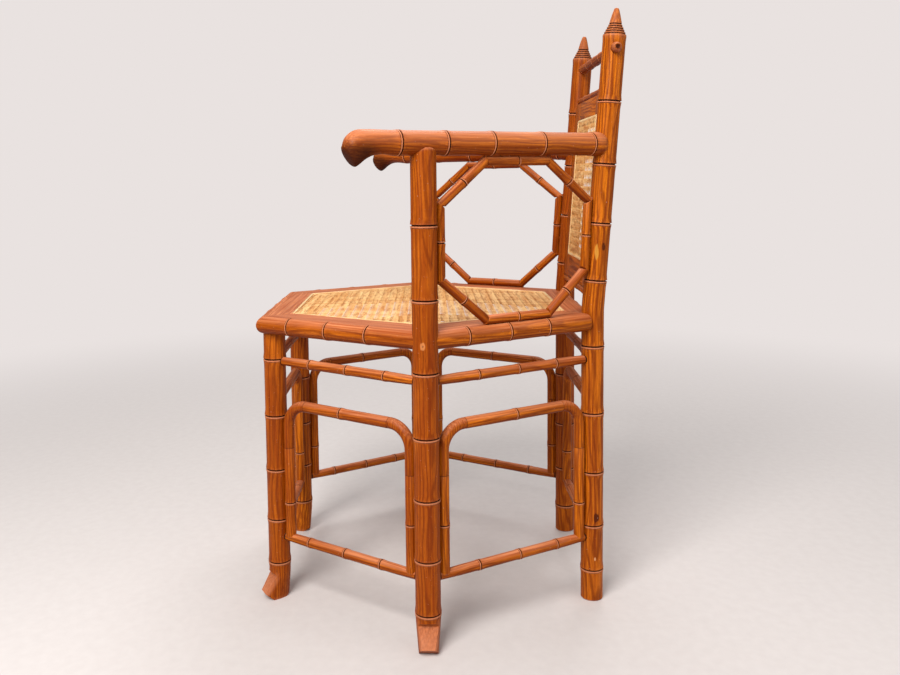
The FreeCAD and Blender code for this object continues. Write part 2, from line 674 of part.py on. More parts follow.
def fret(side):
    """Eight mitred sticks between the mid leg, the arm, the back post and the seat."""
    radius = size("fret_diameter") / 2
    mid = f"mid_{side}"
    back = f"back_{side}"
    low = size("seat_top") + size("fret_corner_rise")
    high = size("arm_height") - size("fret_corner_drop")
    middle = (low + high) / 2
    axis = leg_axis(mid)
    heading = on_leg(back, middle) - on_leg(mid, middle)
    direction = FreeCAD.Vector(heading).normalize()
    square = direction.cross(UP)
    room = swell + radius + clearance
    front = leg_radius(mid) + room
    bottom = size("seat_top") + radius + clearance
    top = size("arm_height") - size("arm_diameter") / 2 - room

    def behind(height):
        return (on_leg(back, height) - axis).dot(direction) - leg_radius(back) - room

    start = size("fret_bar_start_share") * heading.Length
    end = size("fret_bar_end_share") * heading.Length
    route = [("lower_front", front, low), ("bottom", start, bottom), ("lower_back", end, bottom),
             ("back", behind(low), low), ("upper_back", behind(high), high), ("top", end, top),
             ("upper_front", start, top), ("front", front, high)]
    points = [axis + direction * distance + UP * height for _, distance, height in route]
    names = [name for name, _, _ in route]
    count = len(points)
    headings = [(points[(i + 1) % count] - points[i]).normalize() for i in range(count)]
    for i, name in enumerate(names):
        node = f"fret_{side}_{name}"
        first, last = points[i], points[(i + 1) % count]
        length = (last - first).Length
        over = 2 * radius
        outline = [(radius, -over)] + ring_outline(radius, length / 2, size("thin_ring_share"))
        outline.append((radius, length + over))
        stick = feature(node + "_stick", turned(outline), along(first, last))
        mitres = []
        for tag, point, other, way in (("a", first, headings[i - 1], -1),
                                       ("b", last, headings[(i + 1) % count], 1)):
            normal = (headings[i] + other).normalize() * way
            block = doc.addObject("Part::Box", f"{node}_mitre_{tag}")
            for edge in ("Length", "Width", "Height"):
                block.setExpression(edge, "4 * Sizes.fret_diameter")
            turn = FreeCAD.Rotation(normal, square, normal.cross(square), "XYZ")
            half = 2 * size("fret_diameter")
            shift = turn.multVec(FreeCAD.Vector(0, -half, -half))
            block.Placement = FreeCAD.Placement(point + shift, turn)
            mitres.append(block)
        blanks[node] = carved(node + "_blank", stick, mitres)
    # Dowels into what the octagon touches, clear of every ring
    level = low + 0.27 * (high - low)
    dowel(axis + direction * (leg_radius(mid) + swell / 2) + UP * level, direction,
          [leg_node(mid), f"fret_{side}_front"])
    dowel(axis + direction * (behind(level) + radius + swell / 2) + UP * level, direction,
          [leg_node(back), f"fret_{side}_back"])
    place = start + 0.25 * (end - start)
    dowel(axis + direction * place + UP * (top + radius + swell / 2), UP,
          [f"arm_{side}", f"fret_{side}_top"])
    dowel(axis + direction * place + UP * (bottom - radius), UP,
          [f"seat_rail_back_{side}", f"fret_{side}_bottom"])


# Seat frame


def sketch_lines(sketch, corners):
    """Closed outline of straight lines, each corner tied to a pair of expressions."""
    places = [FreeCAD.Vector(x[1], y[1], 0) for x, y in corners]
    count = len(places)
    for i in range(count):
        sketch.addGeometry(Part.LineSegment(places[i], places[(i + 1) % count]), False)
    return count


def tie(sketch, kind, geometry, point, value, expression, name):
    """Dimension from the sketch's origin to a point, driven by the sheet."""
    import Sketcher
    index = sketch.addConstraint(Sketcher.Constraint(kind, -1, 1, geometry, point, value))
    sketch.renameConstraint(index, name)
    sketch.setExpression(f"Constraints.{name}", expression)


def board_body(node):
    """Seat board with a half-round outer edge, drawn across and padded along its length."""
    import Sketcher
    body = doc.addObject("PartDesign::Body", node + "_board")
    sketch = body.newObject("Sketcher::SketchObject", node + "_section")
    plane = [item for item in body.Origin.OriginFeatures if item.Role == "XZ_Plane"][0]
    sketch.AttachmentSupport = [(plane, "")]
    sketch.MapMode = "FlatFace"
    bead = seat_bead
    inner = -(size("seat_border") + size("spline_width") + size("cane_ledge"))
    thick = size("seat_thickness")
    top = FreeCAD.Vector(-bead, 0, 0)
    bottom = FreeCAD.Vector(-bead, -thick, 0)
    inner_bottom = FreeCAD.Vector(inner, -thick, 0)
    inner_top = FreeCAD.Vector(inner, 0, 0)
    circle = Part.Circle(FreeCAD.Vector(-bead, -bead, 0), UP, bead)
    sketch.addGeometry(Part.ArcOfCircle(circle, -math.pi / 2, math.pi / 2), False)
    sketch.addGeometry(Part.LineSegment(top, inner_top), False)
    sketch.addGeometry(Part.LineSegment(inner_top, inner_bottom), False)
    sketch.addGeometry(Part.LineSegment(inner_bottom, bottom), False)
    for first, first_end, second, second_end in ((0, 2, 1, 1), (1, 2, 2, 1), (2, 2, 3, 1), (3, 2, 0, 1)):
        sketch.addConstraint(Sketcher.Constraint("Coincident", first, first_end, second, second_end))
    half = "Sizes.seat_thickness / 2"
    wide = "Sizes.seat_border + Sizes.spline_width + Sizes.cane_ledge"
    tie(sketch, "DistanceX", 1, 1, top.x, f"-({half})", "bead_x")
    tie(sketch, "DistanceY", 1, 1, top.y, "0 * Sizes.seat_top", "top_y")
    tie(sketch, "DistanceX", 0, 1, bottom.x, f"-({half})", "under_x")
    tie(sketch, "DistanceY", 0, 1, bottom.y, "-Sizes.seat_thickness", "under_y")
    tie(sketch, "DistanceX", 0, 3, top.x, f"-({half})", "centre_x")
    tie(sketch, "DistanceX", 2, 1, inner, f"-({wide})", "inner_x")
    tie(sketch, "DistanceY", 2, 1, 0, "0 * Sizes.seat_top", "inner_y")
    tie(sketch, "DistanceX", 2, 2, inner, f"-({wide})", "inner_low_x")
    tie(sketch, "DistanceY", 2, 2, -thick, "-Sizes.seat_thickness", "inner_low_y")
    pad = body.newObject("PartDesign::Pad", node + "_length")
    pad.Profile = sketch
    pad.setExpression("Length", "Sizes.seat_corner_radius + 2 * Sizes.seat_thickness")
    pad.Midplane = True
    body.Tip = pad
    return body


def opening_corners(inset):
    """Corners of the cane's opening, drawn in from the spline's outer edge, mid left one first."""
    side = seat_flat - size("seat_border") - inset
    front = seat_flat - size("seat_front_border") - inset
    back = seat_flat - size("seat_back_border") - inset
    slant = math.radians(30)
    places = []
    for way, level in ((1, 0), (1, back), (-1, back), (-1, 0), (-1, -front), (1, -front)):
        reach = (side - abs(level) * math.sin(slant)) / math.cos(slant)
        places.append(FreeCAD.Vector(way * reach, level, 0))
    return places


def opening_block(name, inset, height, low):
    """Upright six-sided block with the outline of the cane's opening."""
    corners = opening_corners(inset)
    face = Part.Face(Part.makePolygon(corners + corners[:1]))
    return feature(name, face.extrude(UP * height), FreeCAD.Placement(UP * low, FreeCAD.Rotation()))


def seat_cutters():
    """Opening, rebate for the cane and groove for the spline, shared by the six boards."""
    thick = size("seat_thickness")
    ledge = size("spline_width") + size("cane_ledge")
    window = opening_block("seat_window", ledge, 3 * thick, seat_bottom - thick)
    rebate = opening_block("seat_rebate", 0, thick, size("seat_top") - size("cane_recess"))
    low = size("seat_top") - size("groove_depth")
    inside = size("spline_width") + 2 * clearance
    ring = carved("seat_groove", opening_block("seat_groove_outer", 0, thick, low),
                  [opening_block("seat_groove_inner", inside, thick, low)])
    return window, rebate, ring


def seat_rail(name, ends, kind, shared):
    """One of the six boards: mitred, ringed, and fitted round the legs at its ends."""
    node = f"seat_rail_{name}"
    first_leg, last_leg = ends
    index = {"back_left": 0, "back": 1, "back_right": 2, "front_right": 3, "front": 4,
             "front_left": 5}[name]
    angle = 60 * index + 30
    facing = FreeCAD.Vector(math.cos(math.radians(angle)), math.sin(math.radians(angle)), 0)
    middle = facing * seat_flat
    body = board_body(node)
    body.Placement = FreeCAD.Placement(middle + UP * size("seat_top"), FreeCAD.Rotation(UP, angle))
    tools = list(shared)
    low = seat_bottom - 10
    for tag, swing in (("a", -30), ("b", 30)):
        block = doc.addObject("Part::Box", f"{node}_mitre_{tag}")
        block.setExpression("Length", "2 * Sizes.seat_corner_radius")
        block.setExpression("Width", "Sizes.seat_corner_radius")
        block.setExpression("Height", "Sizes.seat_thickness + 20")
        turn = FreeCAD.Rotation(UP, angle + swing)
        side = FreeCAD.Vector(0, -size("seat_corner_radius") if swing < 0 else 0, 0)
        block.Placement = FreeCAD.Placement(turn.multVec(side) + UP * low, turn)
        tools.append(block)
    # Bamboo rings round the half-round edge
    direction = UP.cross(facing)
    first = leg_axis(first_leg)
    if (leg_axis(last_leg) - first).dot(direction) < 0:
        direction = direction * -1
    centre = middle - facing * seat_bead + UP * (size("seat_top") - seat_bead)
    for number, share in enumerate(SEAT_RAIL_RINGS[kind], start=1):
        place = share * size("seat_corner_radius")
        ring = doc.addObject("Part::Torus", f"{node}_ring_{number}")
        ring.setExpression("Radius1", "Sizes.seat_thickness / 2 + Sizes.ring_groove_width / 8")
        ring.setExpression("Radius2", "Sizes.ring_groove_width / 2")
        ring.Angle3 = 180
        turn = FreeCAD.Rotation(UP * -1, facing, UP.cross(facing), "XYZ")
        ring.Placement = FreeCAD.Placement(centre + direction * place, turn)
        tools.append(ring)
    # Legs that the board stands on or is fitted round
    for tag, leg in (("a", first_leg), ("b", last_leg)):
        foot = leg_axis(leg)
        alias = {"mid": "mid_leg", "front": "leg_tenon", "back": "post"}[leg.split("_")[0]]
        height = "Sizes.seat_thickness + 20"
        bottom = low
        if alias == "leg_tenon":
            height = "Sizes.leg_tenon_length + 10 + Sizes.joint_clearance"
        tools.append(round_bar(f"{node}_leg_{tag}", f"Sizes.{alias}_diameter / 2 + Sizes.joint_clearance",
                               height, FreeCAD.Placement(foot + UP * bottom, FreeCAD.Rotation())))
        if leg.startswith("back"):
            # Blunt end, short of the corner
            toward = 1 if (foot - middle).dot(direction) > 0 else -1
            reach = size("seat_corner_radius") / 2 - size("rail_end_trim")
            block = doc.addObject("Part::Box", f"{node}_trim_{tag}")
            for edge in ("Length", "Width", "Height"):
                block.setExpression(edge, "2 * Sizes.seat_thickness")
            turn = FreeCAD.Rotation(UP, math.degrees(math.atan2(toward * direction.y,
                                                                toward * direction.x)))
            shift = turn.multVec(FreeCAD.Vector(0, -size("seat_thickness"), 0))
            start = middle + direction * (toward * reach) + shift
            block.Placement = FreeCAD.Placement(start + UP * low, turn)
            tools.append(block)
    blanks[node] = body
    for tool in tools:
        cut_later(node, tool)
    # Dowels into the legs that the board meets, on the middle of its round edge
    for leg in ends:
        if leg.startswith("front"):
            continue
        foot = leg_axis(leg)
        toward = 1 if (foot - middle).dot(direction) > 0 else -1
        beside = (foot - centre).dot(facing)
        station = (foot - centre).dot(direction) * toward - math.sqrt(leg_radius(leg) ** 2 - beside ** 2)
        dowel(centre + direction * (toward * station), direction, [node, leg_node(leg)])


def seat_frame():
    """Six boards, the dowels across their mitres, the cane and its spline."""
    shared = seat_cutters()
    for name, (first, last, kind) in SIDES.items():
        seat_rail(name, (first, last), kind, shared)
    order = ["back_left", "back", "back_right", "front_right", "front", "front_left"]
    for index in range(6):
        direction = corner(index).normalize()
        depth = size("seat_corner_radius") - size("mitre_dowel_inset")
        centre = direction * depth + UP * (size("seat_top") - seat_bead)
        dowel(centre, UP.cross(direction),
              [f"seat_rail_{order[index]}", f"seat_rail_{order[index - 1]}"])
    low = size("seat_top") - size("cane_recess")
    blanks["seat_cane"] = opening_block("seat_cane_sheet", size("spline_width") + 3 * clearance,
                                        size("cane_thickness"), low)
    low = size("seat_top") - size("groove_depth")
    strips = strip_ring(opening_corners(clearance), opening_corners(size("spline_width")),
                        UP * size("spline_height"))
    blanks["seat_spline"] = feature("seat_spline_strips", Part.Compound(strips),
                                    FreeCAD.Placement(UP * low, FreeCAD.Rotation()))


def strip_ring(outer, inner, depth):
    """Mitred strips between two outlines, a little apart at the mitres."""
    strips = []
    for i in range(len(outer)):
        j = (i + 1) % len(outer)
        heading = (outer[j] - outer[i]).normalize() * (clearance / 2)
        points = [outer[i] + heading, outer[j] - heading, inner[j] - heading, inner[i] + heading]
        strips.append(Part.Face(Part.makePolygon(points + points[:1])).extrude(depth))
    return strips


# Back panel, built upright over the bend of the posts and then leaned with them


def leaned(point):
    """Place in the chair of a point given upright: x, forward or back, and up from the bend."""
    turn = FreeCAD.Rotation(FreeCAD.Vector(1, 0, 0), -size("post_rake"))
    base = FreeCAD.Vector(0, leg_axis("back_left").y, bend_height)
    return FreeCAD.Placement(base + turn.multVec(point), turn)


def above_bend(height):
    """Distance along the leaning post to a height above the floor."""
    return (height - bend_height) / math.cos(rake)


def box(name, width, depth, height, x, y, z):
    """Board of the back panel; width and height are expressions, its place is leaned."""
    item = doc.addObject("Part::Box", name)
    item.setExpression("Length", width)
    item.setExpression("Width", depth)
    item.setExpression("Height", height)
    item.Placement = leaned(FreeCAD.Vector(x, y, z))
    return item


def back_panel():
    """Crest rail, thin rails over and under the panel, its flat frame, cane and spline."""
    post = leg_axis("back_left").x
    post_radius = leg_radius("back_left")
    share = size("thin_ring_share")
    # Crest rail, right through both posts
    radius = size("crest_diameter") / 2
    reach = post + post_radius + size("crest_knob")
    outline = [(radius * 0.35, -reach), (radius * 0.8, -reach + radius * 0.35), (radius, -reach + radius)]
    for ring in CREST_RINGS:
        outline += ring_outline(radius, ring * post, share)
    outline += [(radius, reach - radius), (radius * 0.8, reach - radius * 0.35), (radius * 0.35, reach)]
    centre = on_leg("back_left", crest_height)
    centre.x = 0
    blanks["crest_rail"] = feature("crest_rail_blank", turned(outline),
                                   along(centre, centre + FreeCAD.Vector(1, 0, 0)))
    for side, way in (("left", 1), ("right", -1)):
        start = FreeCAD.Vector(centre.x + way * (post - 2 * post_radius), centre.y, centre.z)
        hole = round_bar(f"crest_hole_{side}", "Sizes.crest_diameter / 2 + Sizes.joint_clearance",
                         "2 * Sizes.post_diameter", along(start, start + FreeCAD.Vector(way, 0, 0)))
        cut_later(f"post_back_{side}", hole)
    # Thin rails, tenoned into the posts
    for node, alias, height in (("panel_head_rail", "head_rail", head_rail_height),
                                ("panel_foot_rail", "foot_rail", foot_rail_height)):
        thin = size(alias + "_diameter") / 2

        def outline_of(length, thin=thin):
            places = [length / 2 + ring * post for ring in PANEL_RAIL_RINGS]
            return stick_outline(length, thin, places, share * 0.8)

        tenoned_stick(node, ("back_left", "back_right"), [height, height], outline_of)
    # Flat frame
    half = post - post_radius - swell - clearance
    room = clearance + swell * share
    low = above_bend(foot_rail_height) + size("foot_rail_diameter") / 2 + room
    high = above_bend(head_rail_height) - size("head_rail_diameter") / 2 - room
    tall = high - low
    front = -size("panel_thickness") / 2
    stile = size("stile_width")
    ledge = size("spline_width") + size("cane_ledge")
    cane_low = low + size("panel_bottom_width")
    cane_high = high - size("panel_top_width")
    cane_half = half - stile
    face_cut = doc.addObject("Part::Box", "panel_rebate")
    face_cut.Length = 2 * cane_half
    face_cut.setExpression("Width", "Sizes.cane_recess")
    face_cut.Height = cane_high - cane_low
    face_cut.Placement = leaned(FreeCAD.Vector(-cane_half, front, cane_low))
    outer = doc.addObject("Part::Box", "panel_groove_outer")
    outer.Length = 2 * cane_half
    outer.setExpression("Width", "Sizes.groove_depth")
    outer.Height = cane_high - cane_low
    outer.Placement = leaned(FreeCAD.Vector(-cane_half, front, cane_low))
    inset = size("spline_width") + 2 * clearance
    inner = doc.addObject("Part::Box", "panel_groove_inner")
    inner.Length = 2 * (cane_half - inset)
    inner.setExpression("Width", "Sizes.groove_depth")
    inner.Height = cane_high - cane_low - 2 * inset
    inner.Placement = leaned(FreeCAD.Vector(inset - cane_half, front, cane_low + inset))
    groove = carved("panel_groove", outer, [inner])
    for side, x in (("left", half - stile - ledge), ("right", -half)):
        node = f"panel_stile_{side}"
        board = doc.addObject("Part::Box", node + "_board")
        board.setExpression("Length", "Sizes.stile_width + Sizes.spline_width + Sizes.cane_ledge")
        board.setExpression("Width", "Sizes.panel_thickness")
        board.Height = tall
        board.Placement = leaned(FreeCAD.Vector(x, front, low))
        blanks[node] = board
        cut_later(node, face_cut)
        cut_later(node, groove)
    span = 2 * (half - stile - ledge)
    tongue = size("tenon_length")
    for node, alias, z in (("panel_rail_top", "panel_top_width", cane_high - ledge),
                           ("panel_rail_bottom", "panel_bottom_width", low)):
        board = doc.addObject("Part::Box", node + "_board")
        board.Length = span
        board.setExpression("Width", "Sizes.panel_thickness")
        board.setExpression("Height", f"Sizes.{alias} + Sizes.spline_width + Sizes.cane_ledge")
        board.Placement = leaned(FreeCAD.Vector(-span / 2, front, z))
        tall_tongue = size(alias) - 8
        start = z + ledge + 4 if node.endswith("top") else z + 4
        thick = size("panel_thickness") / 3
        key = doc.addObject("Part::Box", node + "_tongue")
        key.Length = span + 2 * tongue
        key.Width = thick
        key.Height = tall_tongue
        key.Placement = leaned(FreeCAD.Vector(-span / 2 - tongue, thick / 2, start))
        blanks[node] = joined(node + "_blank", [board, key])
        cut_later(node, face_cut)
        cut_later(node, groove)
        slot = doc.addObject("Part::Box", node + "_slot")
        slot.Length = span + 2 * tongue + 4 * clearance
        slot.Width = thick + 2 * clearance
        slot.Height = tall_tongue + 2 * clearance
        slot.Placement = leaned(FreeCAD.Vector(-span / 2 - tongue - 2 * clearance,
                                               thick / 2 - clearance, start - clearance))
        for side in ("left", "right"):
            cut_later(f"panel_stile_{side}", slot)
    sheet_inset = inset + clearance
    cane = doc.addObject("Part::Box", "back_cane_sheet")
    cane.Length = 2 * (cane_half - sheet_inset)
    cane.setExpression("Width", "Sizes.cane_thickness")
    cane.Height = cane_high - cane_low - 2 * sheet_inset
    cane.Placement = leaned(FreeCAD.Vector(sheet_inset - cane_half,
                                           front + size("cane_recess") - size("cane_thickness"),
                                           cane_low + sheet_inset))
    blanks["back_cane"] = cane
    reed = size("spline_width") - clearance
    outlines = []
    for inset_now in (clearance, clearance + reed):
        x, z0, z1 = cane_half - inset_now, cane_low + inset_now, cane_high - inset_now
        outlines.append([FreeCAD.Vector(-x, 0, z0), FreeCAD.Vector(x, 0, z0),
                         FreeCAD.Vector(x, 0, z1), FreeCAD.Vector(-x, 0, z1)])
    strips = strip_ring(outlines[0], outlines[1], FreeCAD.Vector(0, size("spline_height"), 0))
    back = front + size("groove_depth") - size("spline_height")
    blanks["back_spline"] = feature("back_spline_strips", Part.Compound(strips),
                                    leaned(FreeCAD.Vector(0, back, 0)))
    # Dowels between the stiles and the posts
    for side, way in (("left", 1), ("right", -1)):
        for share_up in (0.2, 0.8):
            spot = leaned(FreeCAD.Vector(way * (half + swell / 2), 0, low + tall * share_up)).Base
            dowel(spot, FreeCAD.Vector(way, 0, 0), [f"panel_stile_{side}", f"post_back_{side}"])


for side in ("left", "right"):
    front_leg(f"front_{side}")
    mid_leg(f"mid_{side}")
    back_post(f"back_{side}")
    arm(side)
    fret(side)
seat_frame()
back_panel()
arches = {}
for name, (first, last, kind) in SIDES.items():
    stretcher(f"stretcher_upper_{name}", (first, last), upper_stretcher_height,
              UPPER_STRETCHER_RINGS[kind])
    stretcher(f"stretcher_lower_{name}", (first, last), size("lower_stretcher_height"),
              LOWER_STRETCHER_RINGS[kind])
    arches[f"arch_{name}"] = arch(name, (first, last), kind)

# Finish every piece with its holes, and group the arches and the dowels
finished = {}
for name, blank in blanks.items():
    finished[name] = carved(name + "_finished", blank, cutters[name]) if name in cutters else blank
for node, solids in arches.items():
    members = [finished.pop(item) if isinstance(item, str) else item for item in solids]
    finished[node] = grouped(node + "_group", members)
finished["dowels"] = grouped("dowels_group", dowels)
for node, item in finished.items():
    item.Label = node
doc.recompute()

# The origin is under the middle of the chair, so everything moves by the same step
outermost = ("leg_front_left", "seat_rail_front", "crest_rail", "post_back_left")
spans = [finished[node].Shape.optimalBoundingBox(False, False) for node in outermost]
middle_y = (min(span.YMin for span in spans) + max(span.YMax for span in spans)) / 2
step = FreeCAD.Vector(0, -middle_y, 0)
problems = []
for item in doc.Objects:
    if "Invalid" in item.State or "Error" in item.State:
        problems.append(f"{item.Name}: {item.State}")
for node, item in finished.items():
    shape = item.Shape
    if shape.isNull() or not shape.isValid() or not shape.Solids:
        problems.append(f"{node}: bad shape")
if problems:
    raise RuntimeError("; ".join(problems))
for node, item in finished.items():
    shape = item.Shape.copy()
    shape.translate(step)
    shape.exportStep(f"parts/{node}.step")
print(len(finished), "nodes,", sum(len(item.Shape.Solids) for item in finished.values()), "solids")
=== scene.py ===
# %% [markdown]
# A corner chair with six sides. Every stick of it is turned wood that is shaped and stained to look
# like bamboo, and its seat and back are woven cane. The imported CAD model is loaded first, because it
# fixes the size and place of every piece. The looks are then built round it, piece by piece.
# Pieces are drawn in millimetres at the origin, where turning and bevelling are easy to read, and
# each one is shrunk to metres in the step that puts it in its place.

import math
import bmesh
import bpy
import numpy as np
from mathutils import Matrix, Vector


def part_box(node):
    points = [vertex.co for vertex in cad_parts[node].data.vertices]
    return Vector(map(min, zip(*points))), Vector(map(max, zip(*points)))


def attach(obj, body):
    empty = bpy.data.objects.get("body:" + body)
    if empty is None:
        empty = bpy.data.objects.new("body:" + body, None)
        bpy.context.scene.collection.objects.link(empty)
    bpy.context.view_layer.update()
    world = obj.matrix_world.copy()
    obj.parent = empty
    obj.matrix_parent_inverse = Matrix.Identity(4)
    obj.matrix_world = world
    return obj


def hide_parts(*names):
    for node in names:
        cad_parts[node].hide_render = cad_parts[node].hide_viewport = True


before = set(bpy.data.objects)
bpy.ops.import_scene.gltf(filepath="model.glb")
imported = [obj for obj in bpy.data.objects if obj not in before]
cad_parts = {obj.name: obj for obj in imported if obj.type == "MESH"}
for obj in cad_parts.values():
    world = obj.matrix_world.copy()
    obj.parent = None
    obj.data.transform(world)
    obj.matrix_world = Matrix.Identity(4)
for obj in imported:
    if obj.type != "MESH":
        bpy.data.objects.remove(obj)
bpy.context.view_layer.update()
# A mid leg stands level with the seat's centre, so its box shows where that centre is
low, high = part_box("leg_mid_left")
SHIFT = Matrix.Translation((0, (low[1] + high[1]) / 2, 0))
TO_METRES = SHIFT @ Matrix.Scale(0.001, 4)
print("nodes", len(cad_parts), "seat centre at y", round((low[1] + high[1]) / 2, 5))

# %% [markdown]
# The sizes below are the ones that the CAD model was drawn with. The seat is a regular hexagon, and
# each leg stands a little inside one of its corners. The two back posts lean from just above the seat.

# %% Sizes of the chair, in millimetres
SEAT_TOP, SEAT_THICK = 453.5, 27
SEAT_BOTTOM = SEAT_TOP - SEAT_THICK
HEIGHT, ARM_HEIGHT, BEND = 914, 711, 456
# Lean of the back posts
RAKE = math.radians(4.3)
# From the seat's centre to a corner, and to the middle of a side
CORNER = 302
FLAT = CORNER * math.cos(math.radians(30))
# Heights of the two rings of stretchers, and sizes of the arches between them
UPPER, LOWER = 382, 101
ARCH_TOP, ELBOW_JOINT, ELBOW_BEND = 315, 246, 34
# Radius of a front leg, post or arm, and of a mid leg
SHAFT, MID_SHAFT = 17, 18
# Room between sticks that lie side by side
ROOM = 0.9
# Place to the left, place to the back, and radius of each kind of leg
LEGS = {"front": (130, 24.5 - FLAT, SHAFT), "mid": (285, 0, MID_SHAFT), "back": (133, FLAT - 3.5, SHAFT)}
UP = Vector((0, 0, 1))
# From the left side to the right, and from upright to lying along X
MIRROR = Matrix.Scale(-1, 4, (1, 0, 0))
LYING = Matrix.Rotation(math.pi / 2, 4, "Y")


def on_leg(name, height):
    """Point on a leg's axis, such as front_left, at a height."""
    place, side = name.split("_")
    x, y, _ = LEGS[place]
    if place == "back" and height > BEND:
        y += math.tan(RAKE) * (height - BEND)
    return Vector((x if side == "left" else -x, y, height))


def axes(x_way, y_way, z_way):
    """Matrix that turns a drawing's three directions to three ways in the chair."""
    return Matrix((x_way, y_way, z_way)).transposed().to_4x4()


def along(start, end, up=None):
    """Matrix that lays an upright piece on the line from start to end."""
    way = (end - start).normalized()
    if up is None:
        turn = UP.rotation_difference(way).to_matrix().to_4x4()
    else:
        turn = axes(up, way.cross(up).normalized(), way)
    return Matrix.Translation(start) @ turn


# %% [markdown]
# A finish is written as sums on fields. A field is a number, a colour or a place that varies over a
# surface, and each sign between two fields adds one Math node. Any other node comes from one method,
# so a finish reads like a recipe.

# %% Fields, for writing finishes as sums


class Field:
    """One output of a node in the finish that is being made."""

    tree = None

    def __init__(self, socket):
        self.socket = socket

    @classmethod
    def node(cls, kind, settings, inputs, out=0):
        """Add a node, set it up, fill its sockets and give one of its outputs back."""
        node = cls.tree.nodes.new(kind)
        for key, value in settings.items():
            setattr(node, key, value)
        for key, value in inputs.items():
            if isinstance(value, Field):
                cls.tree.links.new(value.socket, node.inputs[key])
            else:
                node.inputs[key].default_value = value
        return cls(node.outputs[out])

    def sum(self, operation, first, second):
        """Math node on two fields or numbers."""
        return Field.node("ShaderNodeMath", {"operation": operation}, {0: first, 1: second})

    def __add__(self, other):
        return self.sum("ADD", self, other)

    __radd__ = __add__

    def __sub__(self, other):
        return self.sum("SUBTRACT", self, other)

    def __rsub__(self, other):
        return self.sum("SUBTRACT", other, self)

    def __mul__(self, other):
        return self.sum("MULTIPLY", self, other)

    __rmul__ = __mul__


def paint(*screen):
    """Colour as a screen shows it, 0 to 255, turned into the light that Blender works in."""
    return tuple(((c / 255 + 0.055) / 1.055) ** 2.4 if c > 10 else c / 255 / 12.92 for c in screen) + (1,)


def blend(share, first, second):
    """Colour between two colours."""
    return Field.node("ShaderNodeMix", {"data_type": "RGBA"}, {0: share, 6: first, 7: second}, 2)


def on_place(operation, place, other):
    """Place that is changed by another place or by three numbers."""
    return Field.node("ShaderNodeVectorMath", {"operation": operation}, {0: place, 1: other})


def stretched(place, x, y, z):
    """A place with its three directions scaled."""
    return on_place("MULTIPLY", place, (x, y, z))


def away(place):
    """Distance of a place from its origin."""
    return Field.node("ShaderNodeVectorMath", {"operation": "LENGTH"}, {0: place}, "Value")


def parts_of(place):
    """The three numbers of a place."""
    first = Field.node("ShaderNodeSeparateXYZ", {}, {0: place})
    return [Field(output) for output in first.socket.node.outputs]


def mottle(place, detail=3.0, rough=0.5):
    """Soft noise from 0 to 1."""
    return Field.node("ShaderNodeTexNoise", {},
                      {"Vector": place, "Scale": 1.0, "Detail": detail, "Roughness": rough})


def fade(value, start, end):
    """0 below start and 1 above end, eased between them."""
    return Field.node("ShaderNodeMapRange", {"interpolation_type": "SMOOTHSTEP"},
                      {0: value, 1: start, 2: end, 3: 0.0, 4: 1.0})


def stored(name, out="Fac"):
    """What was stored on the piece's points under a name."""
    return Field.node("ShaderNodeAttribute", {"attribute_name": name}, {}, out)


def place_in_chair():
    """Place in the chair's own coordinates, in metres."""
    return Field.node("ShaderNodeTexCoord", {}, {}, "Object")


def bumps(height, distance):
    """Slope of a surface that a height field roughens."""
    return Field.node("ShaderNodeBump", {}, {"Strength": 0.3, "Distance": distance, "Height": height})


def new_finish(name):
    """Empty material, whose nodes are then written with fields."""
    material = bpy.data.materials.new(name)
    material.use_nodes = True
    material.node_tree.nodes.clear()
    Field.tree = material.node_tree
    return material


def end_with(shader, kind="ShaderNodeOutputMaterial"):
    """Join a shader to the output that ends a finish."""
    output = Field.tree.nodes.new(kind)
    Field.tree.links.new(shader.socket, output.inputs["Surface"])


def surface(inputs):
    """Principled shader at the end of a finish."""
    end_with(Field.node("ShaderNodeBsdfPrincipled", {}, inputs))


# %% [markdown]
# The wood is pale hardwood under an orange-brown stain and satin varnish. Three things make it real.
# Its grain runs along each stick, so every piece carries its own place in the wood from before it
# was put in position. The stain pools dark in the grooves of the bamboo rings. The ridges beside
# them are painted pale, partly as wear and partly as a painted highlight. Faces that look up are
# painted paler as a painted highlight, and faces that look down are painted darker as painted shade.
# The near side also has a few knots and nicks, each an egg-shaped spot with a ragged edge.

# %% Colours and spots of the wood
STREAKS = paint(142, 61, 4), paint(214, 117, 16)
DULL, BRIGHT, FLAME = paint(138, 54, 3), paint(210, 112, 22), paint(116, 44, 2)
# The last colour on the next line is painted shade for faces that look down.
FIBRE, PORE, UNDERSIDE_PAINTED_SHADE = paint(92, 26, 0), paint(66, 16, 0), paint(92, 20, 0)
# The colours on the next line are a painted highlight for faces that look up.
PAINTED_TOP_HIGHLIGHT = paint(190, 100, 56), paint(232, 152, 110)
# The first colour on the next line is paled by wear and by a painted highlight.
WORN_AND_HIGHLIT, GROOVE, SPECK = paint(206, 130, 92), paint(46, 12, 2), paint(232, 205, 185)
# Leg, height, distance to the back, half width, half height, colour and strength of each spot
SPOTS = [("mid_left", 435, -3.5, 4, 7, (226, 150, 90), 0.5),
         ("mid_left", 435, -3.5, 1.6, 2, (80, 26, 4), 0.6),
         ("back_left", 548, -4, 3.4, 13, (206, 146, 56), 0.75),
         ("back_left", 556, 6, 3, 7, (60, 18, 2), 0.8),
         ("back_left", 134, 4, 5, 8, (66, 18, 2), 0.85),
         ("back_left", 68, 2, 1.5, 3, (226, 170, 120), 0.7)]
SPOT_DEEP = 20

# %% Wood finish


def inside_spot(world, centre, size, edge):
    """One inside an egg-shaped spot, fading to nothing at its ragged edge."""
    distance = away(on_place("DIVIDE", on_place("SUBTRACT", world, centre), size))
    return 1 - fade(distance + (edge - 0.5) * 1.1, 0.7, 1.0)


